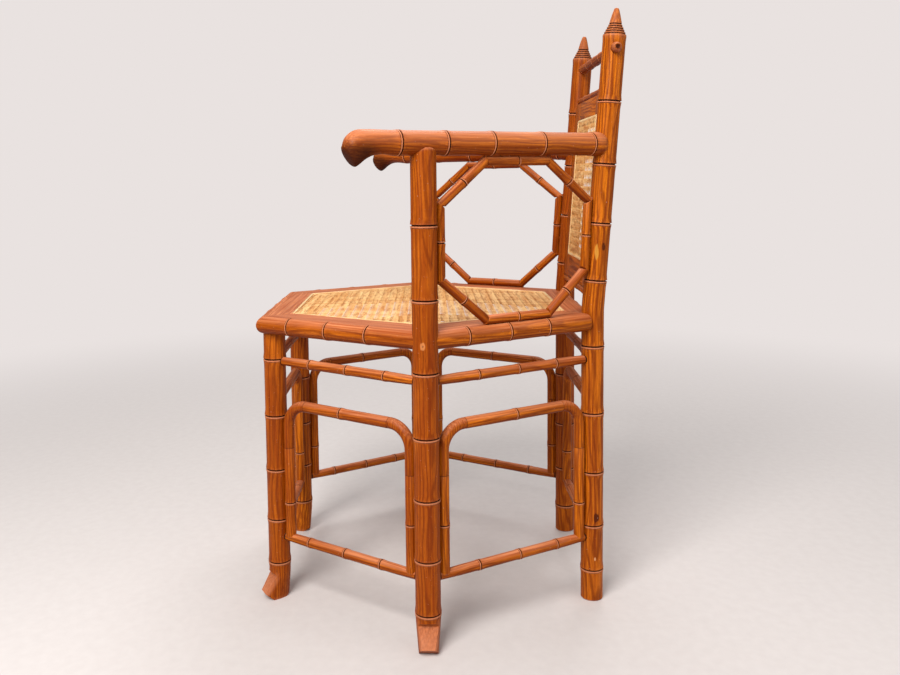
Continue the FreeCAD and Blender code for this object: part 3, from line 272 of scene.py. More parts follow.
def fill_wood(place):
    """Nodes of the wood finish, from a place in the wood."""
    world = place_in_chair()
    drift = mottle(stretched(place, 34, 34, 5), 2.0)
    across, deep, long = parts_of(place)
    bands = across * 1150 + deep * 600 + long * 30 + drift * 34
    flame = fade(Field.node("ShaderNodeMath", {"operation": "SINE"}, {0: bands}), -0.2, 1.0)
    tone = mottle(stretched(place, 1.7, 1.7, 1.7), 1.0)
    streak = mottle(stretched(place, 420, 420, 8), 4.0, 0.6)
    fibre = mottle(stretched(place, 1700, 1700, 50), 3.0, 0.65)
    cloud = mottle(stretched(place, 26, 26, 10), 3.0)
    pores = fade(mottle(stretched(place, 2400, 2400, 110), 2.0, 0.6), 0.58, 0.70)
    stain_and_shade, wear_and_highlight = stored("stain_and_shade"), stored("wear_and_highlight")
    up = parts_of(Field.node("ShaderNodeNewGeometry", {}, {}, "Normal"))[2]
    # Faces that look up are painted paler: a painted highlight.
    highlight_and_backdrop_fade = fade(up, 0.1, 0.95) * (0.35 + 0.75 * cloud)
    # Faces that look down are painted darker: painted shade.
    under = fade(0 - up, 0.1, 0.9)
    colour = blend(fade(streak, 0.32, 0.70), *STREAKS)
    colour = blend(fade(tone, 0.40, 0.64) * 0.6, colour, DULL)
    colour = blend(fade(cloud, 0.50, 0.78) * 0.55, colour, BRIGHT)
    colour = blend(flame * 0.66, colour, FLAME)
    colour = blend(fade(fibre, 0.45, 0.75) * 0.5, colour, FIBRE)
    colour = blend(pores * 0.6, colour, PORE)
    colour = blend(under * 0.65, colour, UNDERSIDE_PAINTED_SHADE)
    colour = blend(highlight_and_backdrop_fade * 0.85, colour, blend(fade(streak, 0.34, 0.68), *PAINTED_TOP_HIGHLIGHT))
    # Wear and a painted highlight both make these points paler.
    colour = blend(wear_and_highlight * (0.45 + 0.6 * streak), colour, WORN_AND_HIGHLIT)
    dark = fade(stain_and_shade, 0.12, 0.8)
    colour = blend(dark * 0.94, colour, GROOVE)
    for leg, height, back, wide, tall, screen, strength in SPOTS:
        centre = TO_METRES @ (on_leg(leg, height) + Vector((SHAFT, back, 0)))
        size = Vector((SPOT_DEEP, wide, tall)) * 0.001
        colour = blend(inside_spot(world, centre, size, streak) * strength, colour, paint(*screen))
    specks = fade(mottle(stretched(world, 520, 520, 520), 1.0), 0.77, 0.80) * 0.4
    colour = blend(specks, colour, SPECK)
    rough = 0.38 + 0.14 * cloud + 0.12 * pores + 0.25 * dark
    height = fibre * 0.4 + streak * 0.6 - pores * 0.6 + drift * 0.6
    surface({"Base Color": colour, "Roughness": rough, "Normal": bumps(height, 0.0006), "Coat Weight": 0.05,
             "Coat Roughness": 0.25, "IOR": 1.45, "Specular IOR Level": 0.1})


WOOD = new_finish("stained_wood")
fill_wood(stored("grain", "Vector"))
PLAIN_WOOD = new_finish("plain_wood")
fill_wood(place_in_chair())
print("wood finish nodes", len(WOOD.node_tree.nodes))

# %% [markdown]
# The first tools of the bench: put everything down, start a piece as a single point, draw that
# point out into a line, and turn the line on a lathe. The lathe is Blender's Spin. It leaves a seam
# and a pile of points on the axis, so doubles are merged and the faces are then turned outwards.

# %% Holding a piece and picking its parts


def hands_off():
    """Leave edit mode and put everything down."""
    if bpy.context.mode != "OBJECT":
        bpy.ops.object.mode_set(mode="OBJECT")
    bpy.ops.object.select_all(action="DESELECT")


def take(piece):
    """Hold one piece only."""
    hands_off()
    piece.select_set(True)
    bpy.context.view_layer.objects.active = piece


def edit(piece):
    """Hold a piece and open its mesh."""
    take(piece)
    bpy.ops.object.mode_set(mode="EDIT")


def pick(test, kind="VERT"):
    """Select the points or edges of the open mesh that pass a test, and count them."""
    bpy.ops.mesh.select_mode(type=kind)
    bpy.ops.mesh.select_all(action="DESELECT")
    mesh = bpy.context.object.data
    shape = bmesh.from_edit_mesh(mesh)
    found = [item for item in {"VERT": shape.verts, "EDGE": shape.edges}[kind] if test(item)]
    for item in found:
        item.select_set(True)
    shape.select_flush_mode()
    bmesh.update_edit_mesh(mesh)
    return len(found)


# %% Drawing and turning


def pull(way):
    """Extrude what is selected along a way."""
    bpy.ops.mesh.extrude_region_move(TRANSFORM_OT_translate={"value": way})


def close_up(merge=0):
    """Merge doubles if asked, turn all faces outwards and leave the mesh."""
    bpy.ops.mesh.select_all(action="SELECT")
    if merge:
        bpy.ops.mesh.remove_doubles(threshold=merge)
    bpy.ops.mesh.normals_make_consistent(inside=False)
    bpy.ops.object.mode_set(mode="OBJECT")


def draw(name, points, closed=False):
    """New piece, still open, that is a line through the points, or a face where the line is closed."""
    hands_off()
    bpy.ops.mesh.primitive_plane_add(size=1, location=(0, 0, 0))
    piece = bpy.context.object
    piece.name = name
    bpy.ops.object.mode_set(mode="EDIT")
    bpy.ops.mesh.select_mode(type="VERT")
    bpy.ops.mesh.select_all(action="SELECT")
    bpy.ops.mesh.merge(type="CENTER")
    bpy.ops.transform.translate(value=points[0])
    here = Vector(points[0])
    for there in list(points[1:]) + ([points[0]] if closed else []):
        pull(Vector(there) - here)
        here = Vector(there)
    bpy.ops.mesh.select_all(action="SELECT")
    if closed:
        bpy.ops.mesh.remove_doubles(threshold=0.01)
        bpy.ops.mesh.select_all(action="SELECT")
        bpy.ops.mesh.edge_face_add()
    return piece


def extruded(name, outline, way):
    """Solid drawn as a closed outline and pulled along a way."""
    piece = draw(name, outline, closed=True)
    pull(way)
    close_up()
    return piece


def lathe(name, rows, steps):
    """Round piece turned from rows that start with a radius and a height."""
    piece = draw(name, [(row[0], 0, row[1]) for row in rows])
    bpy.ops.mesh.spin(steps=steps, angle=math.tau, center=(0, 0, 0), axis=(0, 0, 1))
    close_up(merge=0.004)
    return piece


# %% [markdown]
# Before a piece leaves the origin, every point stores its place in the wood, how dark stain and
# painted shade make it, and how pale wear and a painted highlight make it. That lets one finish
# serve all the sticks, whichever way they point. Each copy's grain is then shifted, so that two
# copies of a stick aren't cut from the same spot of the same plank.

# %% Grain, stain and painted shade, and wear and painted highlight, stored on the points


def store(piece, rows=None, wood_frame=None, long_axis=2, marked=None):
    """Store grain, darkness from staining and painted shade, and paleness from rubbing and painted highlight.
    Rows are (radius, place along the wood, darkness, paleness).
    """
    mesh = piece.data
    count = len(mesh.vertices)
    places = np.empty(count * 3, dtype=np.float64)
    mesh.vertices.foreach_get("co", places)
    places = places.reshape(-1, 3)
    if wood_frame is not None:
        back = np.array(wood_frame.inverted())
        places = places @ back[:3, :3].T + back[:3, 3]
    order = [axis for axis in range(3) if axis != long_axis] + [long_axis]
    stain_and_shade, wear_and_highlight = np.zeros(count), np.zeros(count)
    if rows:
        heights, stains, wear_and_highlight_rows = np.array(sorted(row[1:] for row in rows)).T
        stain_and_shade = np.interp(places[:, long_axis], heights, stains, 0, 0)
        wear_and_highlight = np.interp(places[:, long_axis], heights, wear_and_highlight_rows, 0, 0)
    if marked is not None:
        stain_and_shade, wear_and_highlight = marked(places, stain_and_shade, wear_and_highlight)
    grain = places[:, order] * 0.001
    for name, kind, values in (("grain", "FLOAT_VECTOR", grain), ("stain_and_shade", "FLOAT", stain_and_shade),
                               ("wear_and_highlight", "FLOAT", wear_and_highlight)):
        layer = mesh.attributes.get(name) or mesh.attributes.new(name, kind, "POINT")
        layer.data.foreach_set("vector" if kind == "FLOAT_VECTOR" else "value",
                               np.ascontiguousarray(values, dtype=np.float32).ravel())


def smooth(piece, angle=32):
    """Shade a piece smooth, with its corners over the angle left sharp."""
    take(piece)
    bpy.ops.object.shade_smooth_by_angle(angle=math.radians(angle))


# %% Putting a piece in its place
# Each copy's grain moves on by these shares of a plank, whose size is in metres
GRAIN_STEPS, PLANK_SIZE = (0.618, 0.414, 0.732), 3
pieces_made = []


def move(mesh, matrix):
    """Move a mesh, and turn its faces out again where the matrix mirrors it."""
    mesh.transform(matrix)
    if matrix.determinant() < 0:
        mesh.flip_normals()


def copy_of(pattern, name, matrix):
    """Copy of a pattern, with its own mesh, moved by a matrix."""
    piece = bpy.data.objects.new(name, pattern.data.copy())
    piece.data.name = name
    move(piece.data, matrix)
    bpy.context.scene.collection.objects.link(piece)
    return piece


def put(pattern, name, place, *nodes, slot="wood", finish=None):
    """Copy of a pattern in its place in the chair, with grain of its own."""
    piece = copy_of(pattern, name, TO_METRES @ place)
    pieces_made.append(piece)
    grain = piece.data.attributes["grain"].data
    values = np.empty(len(grain) * 3, dtype=np.float32)
    grain.foreach_get("vector", values)
    shift = np.array([len(pieces_made) * step % 1 for step in GRAIN_STEPS]) * PLANK_SIZE
    grain.foreach_set("vector", (values.reshape(-1, 3) + shift).astype(np.float32).ravel())
    piece.data.materials.clear()
    piece.data.materials.append(finish or WOOD)
    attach(piece, "root")
    if nodes:
        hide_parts(*nodes)


def put_away(*patterns):
    """Remove patterns once their copies are in place."""
    hands_off()
    for pattern in patterns:
        bpy.data.objects.remove(pattern)


# %% Cutting and sawing


def cut_away(piece, *cutters):
    """Cut other shapes out of a piece, and remove them."""
    for cutter in cutters:
        take(piece)
        bpy.ops.object.modifier_add(type="BOOLEAN")
        cut = piece.modifiers[-1]
        cut.operation = "DIFFERENCE"
        cut.solver = "EXACT"
        cut.object = cutter
        bpy.ops.object.modifier_apply(modifier=cut.name)
        put_away(cutter)


def trim(piece, point, way):
    """Saw off what lies beyond a plane, and close the cut."""
    edit(piece)
    bpy.ops.mesh.select_all(action="SELECT")
    bpy.ops.mesh.bisect(plane_co=point, plane_no=way, use_fill=True, clear_outer=True)
    bpy.ops.object.mode_set(mode="OBJECT")


# %% [markdown]
# A bamboo ring on turned wood is a low swelling with a groove in its middle. A dark line of stain
# sits in the groove, and just below it a narrow ridge is painted pale, partly as wear and partly as
# a painted highlight. The rows below are one such ring, from under it to over it, and every stick
# of the chair repeats them at its own size.

# %% One bamboo ring
# Height from the ring's middle, rise over the stick, stain, and wear with painted highlight
RING = [(-10, 0, 0, 0), (-6, 0.35, 0, 0), (-3.9, 0.7, 0, 0), (-3.6, 0.1, 0.85, 0), (-3.2, 0.1, 0.85, 0),
        (-2.9, 0.95, 0, 1), (-1.2, 1.05, 0, 1), (-0.8, -1.0, 1, 0), (0.9, -1.0, 1, 0), (1.4, 1.1, 0.2, 0.1),
        (4.5, 0.65, 0, 0), (10, 0, 0, 0)]
# Height from the middle and stain of the dark line where a stick goes into a leg
JOINT_LINE = [(-2.5, 0), (-2, 0.8), (1.2, 0.8), (2.4, 0)]
# Length over which a stick's end slims, and the least room between a ring's row and that end
TAPER, ROW_MARGIN = 45, 0.3


def ringed(start, end, radius, rings, share=1.0, end_radius=None, joint=0):
    """Rows (radius, height, darkness from staining, paleness from rubbing and painted highlight) of a stick
    with rings, slimmer at its ends if asked.
    """

    def plain(place):
        """Radius of the stick without its rings."""
        if not end_radius:
            return radius
        inside = min(place - start, end - place)
        return end_radius + (radius - end_radius) * min(1, max(0, inside / TAPER))

    rows = [(plain(start), start, 0, 0), (plain(end), end, 0, 0)]
    if end_radius:
        rows += [(radius, start + TAPER, 0, 0), (radius, end - TAPER, 0, 0)]
    # The rings of a slim stick are lower as well as shorter
    lift = share if share == 1 else share * 0.8
    for ring in sorted(rings):
        rows += [(plain(ring + step * share) + rise * lift, ring + step * share, stain_and_shade, wear_and_highlight)
                 for step, rise, stain_and_shade, wear_and_highlight in RING
                 if start + ROW_MARGIN < ring + step * share < end - ROW_MARGIN]
    if joint:
        for end_place, way in ((start, 1), (end, -1)):
            rows += [(plain(end_place), end_place + way * (joint + step), dark, 0)
                     for step, dark in JOINT_LINE]
    return sorted(rows, key=lambda row: row[1])


def turned(name, rows, steps=20):
    """Closed stick turned from its rows, with grain and marks stored."""
    stick = lathe(name, [(0, rows[0][1])] + rows + [(0, rows[-1][1])], steps=steps)
    store(stick, rows)
    smooth(stick)
    return stick


# %% [markdown]
# A front leg stands under the seat, and a mid leg runs on up to the arm. Both are turned, and their
# foot is carved: the round leg spreads into a long foot that points away from the chair, with a flat
# slope on its toe, a hollow over the slope, and a rounded heel. The lathe makes the shaft and leaves
# its bottom open. That open edge is drawn down and widened into the foot, and two cutters carve it.

# %% Feet of the legs
# Height where the foot starts, steps down to its sole, and how late it spreads
FOOT_TOP, FOOT_STEPS, FLARE = 44.5, 8, 1.15
# How far the sole's middle lies from the leg's axis, and half its length and width
SOLE_FORWARD, SOLE_HALF_LONG, SOLE_HALF_WIDE = 13, 27, 14
# Place and height of the toe's tip, height of its slope, and how far the slope bites into the leg
TOE_FORWARD, TOE_UP, SLOPE_TOP, SLOPE_BACK = 28.5, 11, 37, 6
# Depth, height, curve and points of the hollow over the slope
HOLLOW_DEEP, HOLLOW_TALL, HOLLOW_BEND, HOLLOW_STEPS = 6.6, 6.7, 2.2, 5
# Distance in from the back of the leg, and height, of the heel's points
HEEL = [(-0.01, 25), (0.1, 18), (0.9, 11), (2.6, 6), (5.6, 2.2), (10, 0), (12, -2)]
# Reach of the cutters beyond the foot, and where the toe's underside leaves the sole
CUTTER_HALF, CUTTER_FRONT, CUTTER_TOP = 60, 80, 43.9
SOLE_BACK, SOLE_UNDER = 4, -1.55


def draw_foot(leg, radius):
    """Draw the open bottom of a leg down and out to its long sole."""
    edit(leg)
    pick(lambda point: point.co.z < FOOT_TOP + 0.01)
    before = 0
    for step in range(1, FOOT_STEPS + 1):
        after = (step / FOOT_STEPS) ** FLARE
        pull((SOLE_FORWARD * (after - before), 0, -FOOT_TOP / FOOT_STEPS))
        longer, slimmer = [(radius + (half - radius) * after) / (radius + (half - radius) * before)
                           for half in (SOLE_HALF_LONG, SOLE_HALF_WIDE)]
        middle = (SOLE_FORWARD * after, 0, FOOT_TOP * (1 - step / FOOT_STEPS))
        bpy.ops.transform.resize(value=(longer, slimmer, 1), center_override=middle)
        before = after
    bpy.ops.mesh.edge_face_add()
    close_up()


def side_cutter(name, outline):
    """Block with an outline drawn from the side, for carving a foot."""
    return extruded(name, [(x, -CUTTER_HALF, z) for x, z in outline], (0, 2 * CUTTER_HALF, 0))


def carve_foot(leg, radius):
    """Cut the toe's slope and hollow, its underside and the heel, and ease the new edges."""
    hollow = [(radius - SLOPE_BACK + HOLLOW_DEEP * (step / HOLLOW_STEPS) ** HOLLOW_BEND,
               SLOPE_TOP + HOLLOW_TALL * step / HOLLOW_STEPS) for step in range(HOLLOW_STEPS + 1)]
    front = side_cutter("front", [(radius - SOLE_BACK, SOLE_UNDER), (TOE_FORWARD, TOE_UP)] + hollow
                        + [(CUTTER_FRONT, CUTTER_TOP), (CUTTER_FRONT, SOLE_UNDER)])
    heel = side_cutter("heel", [(inward - radius, height) for inward, height in HEEL]
                       + [(-CUTTER_HALF, -2), (-CUTTER_HALF, 25)])
    cut_away(leg, front, heel)
    edit(leg)
    bpy.ops.mesh.select_all(action="SELECT")
    bpy.ops.mesh.remove_doubles(threshold=0.05)
    sharp = math.radians(36)
    count = pick(lambda edge: (len(edge.link_faces) == 2 and edge.calc_face_angle(0) > sharp
                               and max(point.co.z for point in edge.verts) < SLOPE_TOP - 0.5), "EDGE")
    bpy.ops.mesh.bevel(offset=1.3, segments=3, affect="EDGES", clamp_overlap=True)
    bpy.ops.object.mode_set(mode="OBJECT")
    print("foot", leg.name, "edges eased", count, "size", [round(value, 1) for value in leg.dimensions])


def foot_marks(radius):
    """The toe's flat slope gets a painted highlight, and the sole's edge is worn pale."""
    slope_x = radius - SLOPE_BACK
    normal = Vector((SLOPE_TOP - TOE_UP, 0, TOE_FORWARD - slope_x)).normalized()

    def marked(places, stain_and_shade, wear_and_highlight):
        """Darkness from staining, and paleness from rubbing and painted highlight, of the foot's points."""
        distance = (places[:, 0] - TOE_FORWARD) * normal.x + (places[:, 2] - TOE_UP) * normal.z
        by_slope = np.clip(1.5 - np.abs(distance) / 5, 0, 1) * (places[:, 0] > slope_x - 3)
        # The toe's slope is painted pale: a painted highlight.
        wear_and_highlight = np.maximum(wear_and_highlight, 0.9 * by_slope * np.clip((50 - places[:, 2]) / 38, 0, 1))
        return stain_and_shade, np.where(places[:, 2] < 1.2, 0.4, wear_and_highlight)

    return marked


# %% [markdown]
# One front leg and one mid leg are made. Each is copied to both sides of the chair, and turned there
# until its toe points away from the seat. A mid leg ends just under the middle of the arm, where its
# round top laps a little way up the arm's side.

# %% Front and mid legs
FRONT_RINGS = [58.9, 128.8, 209, 295.1, 385.1]
MID_RINGS = [53.1, 130.4, 217, 304.6, 395.6, 496.8, 599.5]
# The last column paints the dome of the mid leg's top pale: a painted highlight.
MID_TOP = [(17.8, 700.2, 0, 0), (17.2, 702.6, 0, 0.3), (16.3, 704.3, 0, 0.5), (14.8, 705.4, 0.3, 0)]


def toed_leg(name, radius, rows):
    """Turned leg with its carved foot."""
    leg = lathe(name, rows + [(0, rows[-1][1])], steps=40)
    draw_foot(leg, radius)
    carve_foot(leg, radius)
    store(leg, rows, marked=foot_marks(radius))
    smooth(leg)
    return leg


def outward(name):
    """Matrix that puts a leg in its place, with its toe away from the middle of the seat."""
    foot = on_leg(name, 0)
    return Matrix.Translation(foot) @ Matrix.Rotation(math.atan2(foot.y, foot.x), 4, "Z")


front_leg = toed_leg("front_leg", SHAFT, ringed(FOOT_TOP, 430, SHAFT, FRONT_RINGS))
mid_leg = toed_leg("mid_leg", MID_SHAFT, ringed(FOOT_TOP, 697, MID_SHAFT, MID_RINGS) + MID_TOP)
for side in ("left", "right"):
    put(front_leg, f"front_leg_{side}_wood", outward(f"front_{side}"), f"leg_front_{side}")
    put(mid_leg, f"mid_leg_{side}_wood", outward(f"mid_{side}"), f"leg_mid_{side}")
put_away(front_leg, mid_leg)

# %% [markdown]
# A back post is turned in one line, from a plain bottom to a pointed finial with five stepped
# grooves. A real one is bent by steam or sawn to its lean. Here the straight post is turned first,
# and then all the points over the bend are rotated back by a few degrees about it. With no window,
# Blender's rotate goes the other way than with one, so a single line is turned first to see which.

# %% Back posts
POST_RINGS = [48.7, 120.1, 204.3, 297.6, 402.3]
POST_UPPER = [504, 591.4, 681, 775.4]
# Height of the finial and of the cone on top of it, its grooves, and the radius of its steps
FINIAL, CONE, GROOVES = 42, 23.5, 5
WIDEST_STEP, SLIMMEST_STEP = 17.4, 10.5
# Radius, height, and wear with painted highlight of the cone's points, from its foot
CONE_ROWS = [(9.4, 0.5, 0.5), (9.2, 1.2, 0.35), (6.3, 13, 0.3), (3.9, 21, 0.35), (3.1, 22.6, 0.4),
             (1.7, 23.4, 0.4)]


def turn_sign():
    """1 where a positive turn about Y takes the X direction down, as by the right-hand rule, or -1."""
    probe = draw("probe", [(10, 0, 0), (20, 0, 0)])
    bpy.ops.transform.rotate(value=0.1, orient_axis="Y", center_override=(0, 0, 0))
    bpy.ops.object.mode_set(mode="OBJECT")
    sign = 1 if probe.data.vertices[0].co.z < 0 else -1
    put_away(probe)
    return sign


TURN_SIGN = turn_sign()


def turn_about(angle, axis, centre):
    """Rotate what is selected about a direction through a point, by the right-hand rule."""
    bpy.ops.transform.rotate(value=TURN_SIGN * angle, orient_axis=axis, center_override=centre)


def finial(foot):
    """Rows of the finial that starts at a height."""
    rows = [(SHAFT, foot - 8, 0, 0), (17.5, foot - 1.2, 0, 0.2), (17.5, foot, 0, 0.7)]
    rise = (FINIAL - CONE) / GROOVES
    for step in range(GROOVES):
        wide = WIDEST_STEP + (SLIMMEST_STEP - WIDEST_STEP) * step / (GROOVES - 1)
        base = foot + rise * step
        rows += [(wide, base + 0.5, 0.1, 0.5), (wide - 0.2, base + rise * 0.52, 0.1, 0.5),
                 (wide - 1.5, base + rise * 0.62, 1, 0), (wide - 1.9, base + rise * 0.96, 1, 0)]
    cone = foot + FINIAL - CONE
    return rows + [(radius, cone + height, 0, wear_and_highlight) for radius, height, wear_and_highlight in CONE_ROWS]


post_length = BEND + (HEIGHT - BEND) / math.cos(RAKE)
upper_rings = [BEND + (ring - BEND) / math.cos(RAKE) for ring in POST_UPPER]
post_rows = [(15.8, 0, 0.3, 0), (SHAFT, 1.3, 0, 0.3)] + ringed(3, BEND + 3, SHAFT, POST_RINGS)
post_rows += ringed(BEND + 6, post_length - 60, SHAFT, upper_rings) + finial(post_length - FINIAL)
post = lathe("post", [(0, 0)] + post_rows + [(0, post_length)], steps=40)
store(post, post_rows)
smooth(post)
edit(post)
pick(lambda point: point.co.z > BEND + 0.5)
turn_about(-RAKE, "X", (0, 0, BEND))
bpy.ops.object.mode_set(mode="OBJECT")
tip = max(post.data.vertices, key=lambda point: point.co.z).co
print("post tip", [round(value, 1) for value in tip])
for side in ("left", "right"):
    put(post, f"back_post_{side}_wood", Matrix.Translation(on_leg(f"back_{side}", 0)), f"post_back_{side}")
put_away(post)

# %% [markdown]
# An arm is a ringed bar whose front end curls down like a root, with a nearly flat end cut across
# it. The bar comes off the lathe with its front open. The open edge is then drawn out, tilted and
# widened in small steps, the way a tube is bent by hand, and its end is drawn in and closed.

# %% Curve of the hand
ARM_RINGS = [-38.5, 33.2, 108.4, 194.3, 285.5]
# Along the arm from the mid leg: its open front, where its back end starts to swell, and that end
ARM_START, ARM_LAST_ROW, ARM_END = -46, 290, 310.4
# The last column paints part of the arm's domed back end pale: a painted highlight.
ARM_BACK = [(18.3, 291.5, 0, 0), (18.5, 296, 0, 0), (18.2, 300, 0, 0), (17.4, 303.6, 0, 0.2),
            (16.2, 306.4, 0.1, 0.3), (14, 308.6, 0.4, 0), (9, 310, 0.4, 0)]
# Lower point and upper point of each section, forward of the mid leg and above the axis, half width
HAND = [((46, -17), (46, 17), 17), ((62, -15.4), (65, 17.4), 17), ((76, -17), (83, 17.6), 17.4),
        ((87, -22), (101, 16.2), 17.8), ((95, -28), (113.5, 7.5), 16.6), ((100.5, -31.5), (118, -3), 13.5)]
# Steps from each section to the next
HAND_STEPS = 4
# Distance and shrinkage of the steps that close the hand's end
HAND_END = [(1.5, 0.95), (1.2, 0.88), (0.8, 0.75), (0.3, 0.5)]


def between(rows, place):
    """Numbers on a smooth curve through rows of numbers, at a place counted in rows."""
    index = min(int(place), len(rows) - 2)
    part = place - index
    before = rows[max(index - 1, 0)]
    first, second = rows[index], rows[index + 1]
    after = rows[min(index + 2, len(rows) - 1)]
    return [0.5 * (2 * b + (c - a) * part + (2 * a - 5 * b + 4 * c - d) * part ** 2
                   + (3 * b - a - 3 * c + d) * part ** 3)
            for a, b, c, d in zip(before, first, second, after)]


def hand_section(place):
    """Middle, tilt, half height and half width of the hand at a place along it."""
    flat = [[*lower, *upper, wide] for lower, upper, wide in HAND]
    low_s, low_z, high_s, high_z, wide = between(flat, place)
    middle = Vector(((low_z + high_z) / 2, 0, -(low_s + high_s) / 2))
    half = Vector(((high_z - low_z) / 2, 0, -(high_s - low_s) / 2))
    return middle, math.atan2(-half.z, half.x), half.length, wide


def reshape(tilt, new_tilt, centre, taller, wider):
    """Set the open end upright, scale it, and tilt it anew."""
    turn_about(-tilt, "Y", centre)
    bpy.ops.transform.resize(value=(taller, wider, 1), center_override=centre)
    turn_about(new_tilt, "Y", centre)


def draw_hand(arm):
    """Draw the open front of the arm out into its curled hand, and close it."""
    edit(arm)
    pick(lambda point: point.co.z < ARM_START + 0.01)
    middle, tilt, tall, wide = hand_section(0)
    for step in range(1, HAND_STEPS * (len(HAND) - 1) + 1):
        new_middle, new_tilt, new_tall, new_wide = hand_section(step / HAND_STEPS)
        pull(new_middle - middle)
        reshape(tilt, new_tilt, new_middle, new_tall / tall, new_wide / wide)
        middle, tilt, tall, wide = new_middle, new_tilt, new_tall, new_wide
    facing = Vector((-math.sin(tilt), 0, -math.cos(tilt)))
    for distance, share in HAND_END:
        pull(facing * distance)
        middle = middle + facing * distance
        reshape(tilt, tilt, middle, share, share)
    bpy.ops.mesh.edge_face_add()
    close_up()


# %% Arms


def hand_marks(places, stain_and_shade, wear_and_highlight):
    """The top of the arm is painted paler, partly from rubbing and partly as a painted highlight, and the
    lower side of the hand is darker.
    """
    curl = np.clip((-places[:, 2] - 50) / 40, 0, 1) * np.clip((12 - places[:, 0]) / 22, 0, 1)
    # The upper half of the arm is painted paler: partly wear, partly a painted highlight.
    rubbed_and_highlit = np.clip((places[:, 0] + 5) / 16, 0, 1)
    return np.maximum(stain_and_shade, 0.68 * curl), np.maximum(wear_and_highlight, 0.5 * rubbed_and_highlit)


arm_rows = [row for row in ringed(ARM_START, 300, SHAFT, ARM_RINGS, 0.95) if row[1] < ARM_LAST_ROW]
arm_rows += ARM_BACK
arm = lathe("arm", arm_rows + [(0, ARM_END)], steps=40)
draw_hand(arm)
store(arm, arm_rows, marked=hand_marks)
smooth(arm, angle=55)
print("arm", [round(value) for value in arm.dimensions])
for side in ("left", "right"):
    start, end = on_leg(f"mid_{side}", ARM_HEIGHT), on_leg(f"back_{side}", ARM_HEIGHT)
    put(arm, f"arm_{side}_wood", along(start, end, UP), f"arm_{side}")
put_away(arm)

# %% [markdown]
# Twelve thin stretchers tie the legs together, one ring of six under the seat and one near the
# floor. They are turned a little slimmer at their ends, which go into the legs as round tenons.

# %% Stretchers
# Radius in the middle and at the ends, and how far from a leg's axis a stretcher starts
STRETCHER, STRETCHER_END, STRETCHER_INSET = 7.25, 6.5, 9
# First leg, last leg and kind of each side of the chair
SIDES = {"front": ("front_left", "front_right", "front"),
         "front_left": ("front_left", "mid_left", "front_side"),
         "front_right": ("front_right", "mid_right", "front_side"),
         "back_left": ("mid_left", "back_left", "back_side"),
         "back_right": ("mid_right", "back_right", "back_side"),
         "back": ("back_left", "back_right", "front")}
# Places of the rings, as shares of the length from the middle
STRETCHER_RINGS = {"upper": {"front": [-0.258, 0, 0.258], "front_side": [-0.236, 0.012, 0.258],
                             "back_side": [-0.210, 0.025, 0.255]},
                   "lower": {"front": [-0.258, 0, 0.258], "front_side": [-0.264, -0.018, 0.218],
                             "back_side": [-0.213, 0.028, 0.261]}}
for level, height in (("upper", UPPER), ("lower", LOWER)):
    patterns = {}
    for name, (first, last, kind) in SIDES.items():
        start, end = on_leg(first, height), on_leg(last, height)
        length = (end - start).length
        key = (kind, round(length, 1))
        if key not in patterns:
            rings = [length * (0.5 + share) for share in STRETCHER_RINGS[level][kind]]
            inner_end = length - STRETCHER_INSET
            rows = ringed(STRETCHER_INSET, inner_end, STRETCHER, rings, 0.8, STRETCHER_END, joint=8)
            patterns[key] = turned(f"stretcher_{len(patterns)}", rows)
        put(patterns[key], f"stretcher_{level}_{name}_wood", along(start, end), f"stretcher_{level}_{name}")
    print(level, "stretchers have", len(patterns), "patterns")
    put_away(*patterns.values())

# %% [markdown]
# Each side has an arch under its upper stretcher: two uprights that stand on the lower stretcher
# close beside the legs, two elbows and a top bar. The real elbows are sawn from wider stock and
# glued on, so a fine dark line shows at every joint. An elbow starts as a circle that is drawn up
# and then spun through a quarter turn. One elbow serves all twelve corners.

# %% Elbow, bar and upright of an arch
ARCH_RADIUS, TAIL = 8.25, 2
# Each end of an arch's stick is eased by this much of its length and radius, a hair off its neighbour
EASE_LONG, EASE_DEEP, HAIR = 0.5, 0.3, 0.05
EASE = EASE_LONG + HAIR
EASED_RADIUS = ARCH_RADIUS - EASE_DEEP
# Ring of a top bar, as a share of its length from the middle, and height of an upright's ring
BAR_RING = {"front": 0, "front_side": -0.032, "back_side": 0.01}
UPRIGHT_RING = {"front": 0.371 * SEAT_BOTTOM, "mid": 0.408 * SEAT_BOTTOM, "back": 0.373 * SEAT_BOTTOM}


def joint_marks(places, stain_and_shade, wear_and_highlight):
    """Dark glue lines at both ends of an elbow."""
    at_end = (places[:, 2] < ELBOW_JOINT + 0.2) | (places[:, 0] > ELBOW_BEND + TAIL - 0.2)
    return np.where(at_end, 1.0, stain_and_shade), wear_and_highlight


